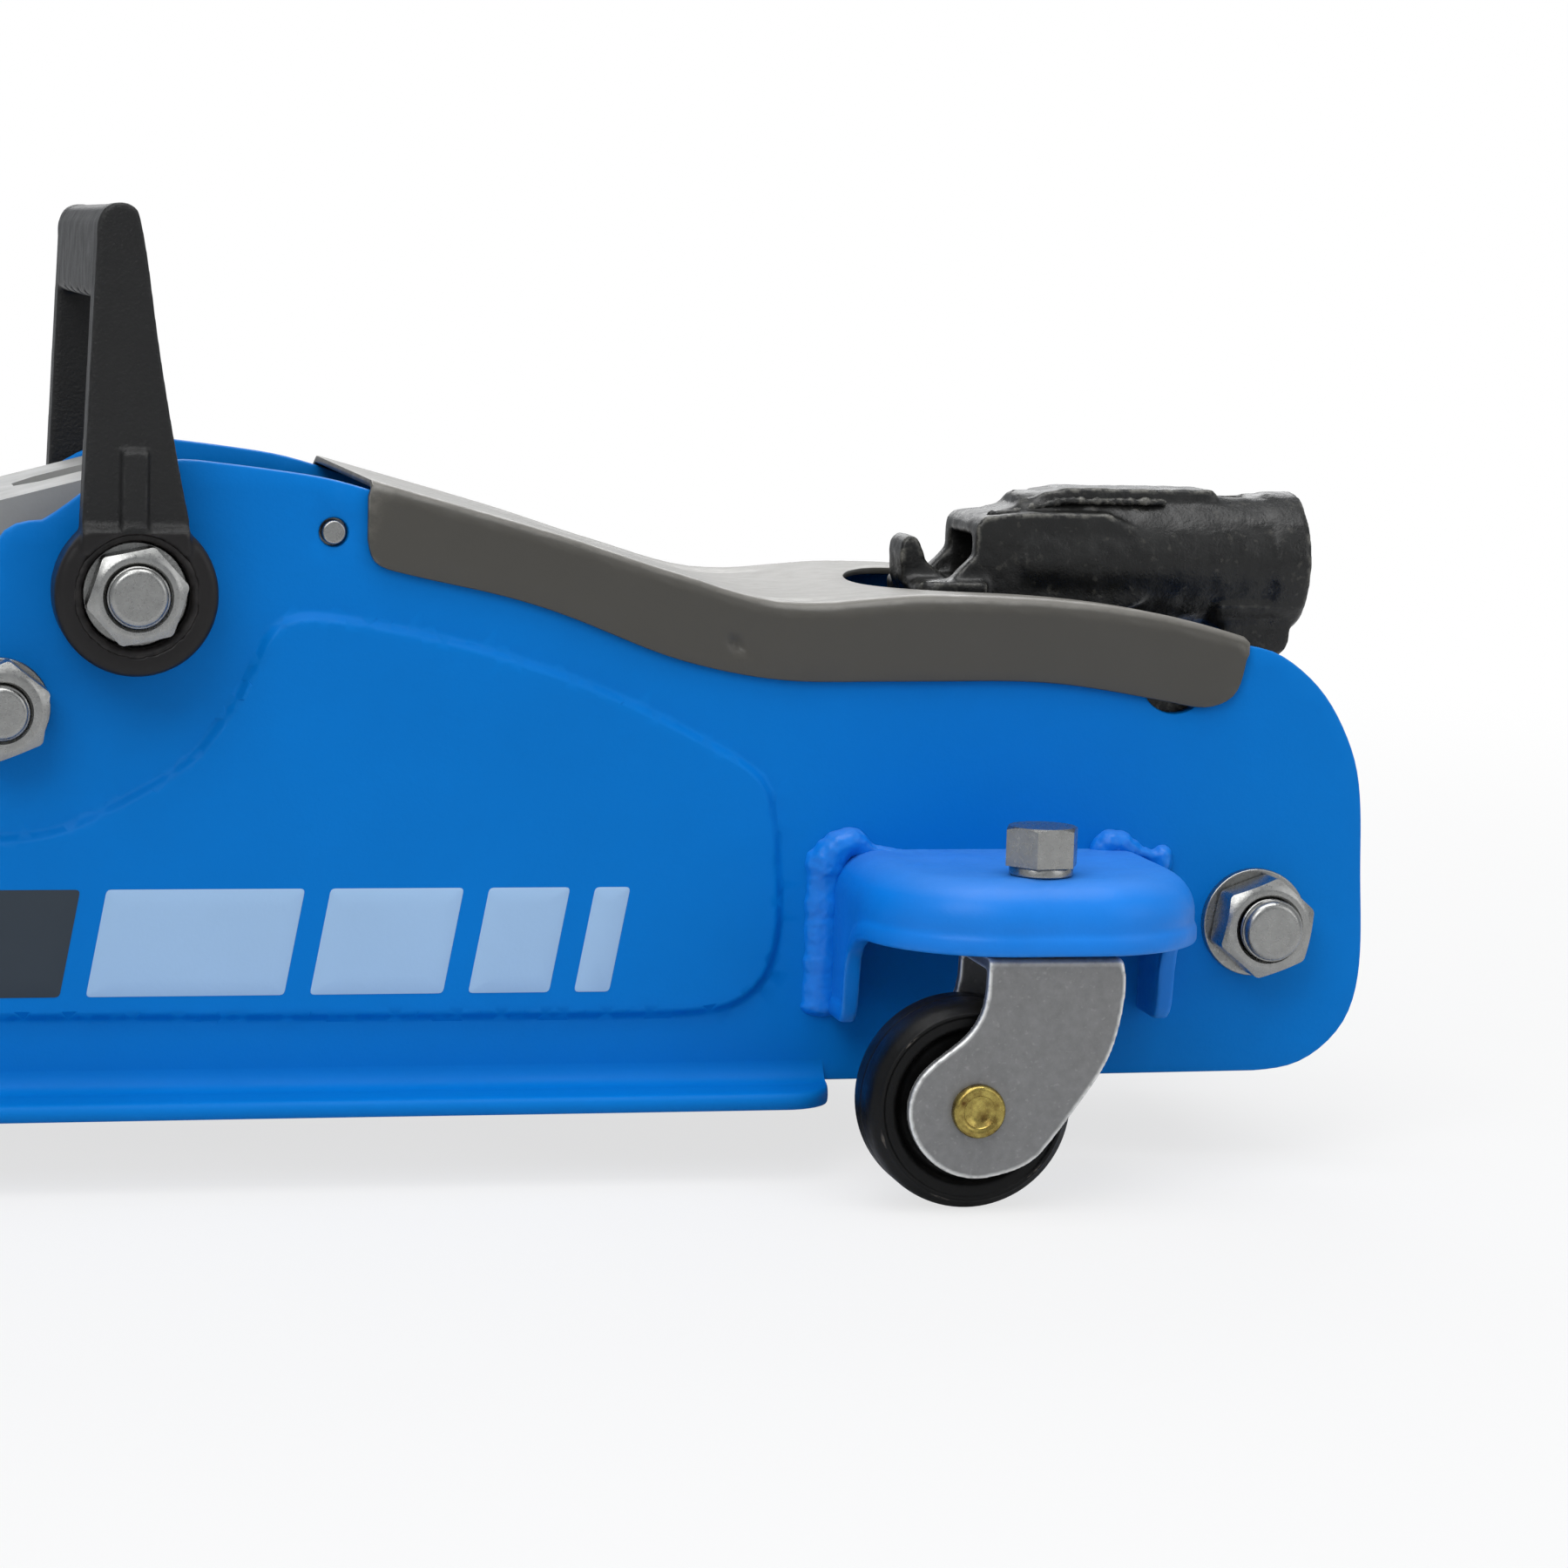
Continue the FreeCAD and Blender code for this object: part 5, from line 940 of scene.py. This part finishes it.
# a light table: the floor glows as seen, and fades into the white surround away from the part
fn, fl = fm.node_tree.nodes, fm.node_tree.links
fb = [q for q in fn if q.type == "BSDF_PRINCIPLED"][0]
fo = [q for q in fn if q.type == "OUTPUT_MATERIAL"][0]
em = fn.new("ShaderNodeEmission"); em.inputs[0].default_value = (1.0, 1.0, 1.0, 1.0); em.inputs[1].default_value = 1.0
gp = fn.new("ShaderNodeNewGeometry"); ln = fn.new("ShaderNodeVectorMath"); ln.operation = "LENGTH"
fl.new(gp.outputs["Position"], ln.inputs[0])
rg = fn.new("ShaderNodeMapRange"); rg.interpolation_type = "SMOOTHSTEP"
rg.inputs["From Min"].default_value = 0.30; rg.inputs["From Max"].default_value = 1.10
rg.inputs["To Min"].default_value = 0.72; rg.inputs["To Max"].default_value = 1.0
fl.new(ln.outputs["Value"], rg.inputs["Value"])
fp = fn.new("ShaderNodeLightPath"); fx = fn.new("ShaderNodeMath"); fx.operation = "MULTIPLY"
fl.new(fp.outputs["Is Camera Ray"], fx.inputs[0]); fl.new(rg.outputs[0], fx.inputs[1])
fs = fn.new("ShaderNodeMixShader")
fl.new(fx.outputs[0], fs.inputs[0]); fl.new(fb.outputs[0], fs.inputs[1]); fl.new(em.outputs[0], fs.inputs[2])
fl.new(fs.outputs[0], fo.inputs[0])
floor.data.materials.append(fm)

w = bpy.data.worlds.new("w"); scene.world = w
w.use_nodes = True
wn = w.node_tree.nodes; wl = w.node_tree.links
bg = wn["Background"]
bg.inputs[0].default_value = (0.93, 0.96, 1.0, 1.0)
bg.inputs[1].default_value = 0.5
bg2 = wn.new("ShaderNodeBackground")
bg2.inputs[0].default_value = (1.0, 1.0, 1.0, 1.0)
bg2.inputs[1].default_value = 1.0
lp = wn.new("ShaderNodeLightPath"); mx = wn.new("ShaderNodeMixShader")
wl.new(lp.outputs["Is Camera Ray"], mx.inputs[0]); wl.new(bg.outputs[0], mx.inputs[1]); wl.new(bg2.outputs[0], mx.inputs[2])
wl.new(mx.outputs[0], wn["World Output"].inputs["Surface"])


def light(name, loc, target, size, power, col=(1, 1, 1)):
    d = bpy.data.lights.new(name, "AREA"); d.shape = "RECTANGLE"
    d.size, d.size_y, d.energy, d.color = size[0], size[1], power, col
    o = bpy.data.objects.new(name, d); scene.collection.objects.link(o)
    o.location = loc
    o.rotation_euler = (Vector(target) - Vector(loc)).to_track_quat("-Z", "Y").to_euler()
    return o


light("key", (-0.7, -1.3, 1.25), (0.05, 0, 0.08), (1.1, 0.9), 12.0)
light("fill", (1.3, -1.0, 0.7), (0.1, 0, 0.08), (1.0, 1.0), 3.5)
light("top", (0.1, -0.25, 1.6), (0.1, 0, 0.1), (1.4, 1.1), 17.0)
light("back", (0.3, 1.5, 0.9), (0.0, 0, 0.08), (1.2, 0.8), 8.0)

cam = bpy.data.cameras.new("cam")
cam.lens = 100.0; cam.sensor_width = 36.0; cam.sensor_fit = "HORIZONTAL"
cam.clip_start, cam.clip_end = 0.05, 50.0
cam.dof.use_dof = False
co = bpy.data.objects.new("cam", cam); scene.collection.objects.link(co)
R_ = Vector((0.97455519, -0.22237018, 0.02817256)); U_ = Vector((0.0, 0.12568749, 0.99206988)); F_ = Vector((0.22414769, 0.96682685, -0.1224894))
m = Matrix((R_, U_, -F_)).transposed().to_4x4()
m.translation = Vector((-0.065308, -0.879899, 0.182813))
co.matrix_world = m
scene.camera = co
scene.view_settings.view_transform = "Standard"
scene.view_settings.look = "None"
scene.view_settings.exposure = 0.0
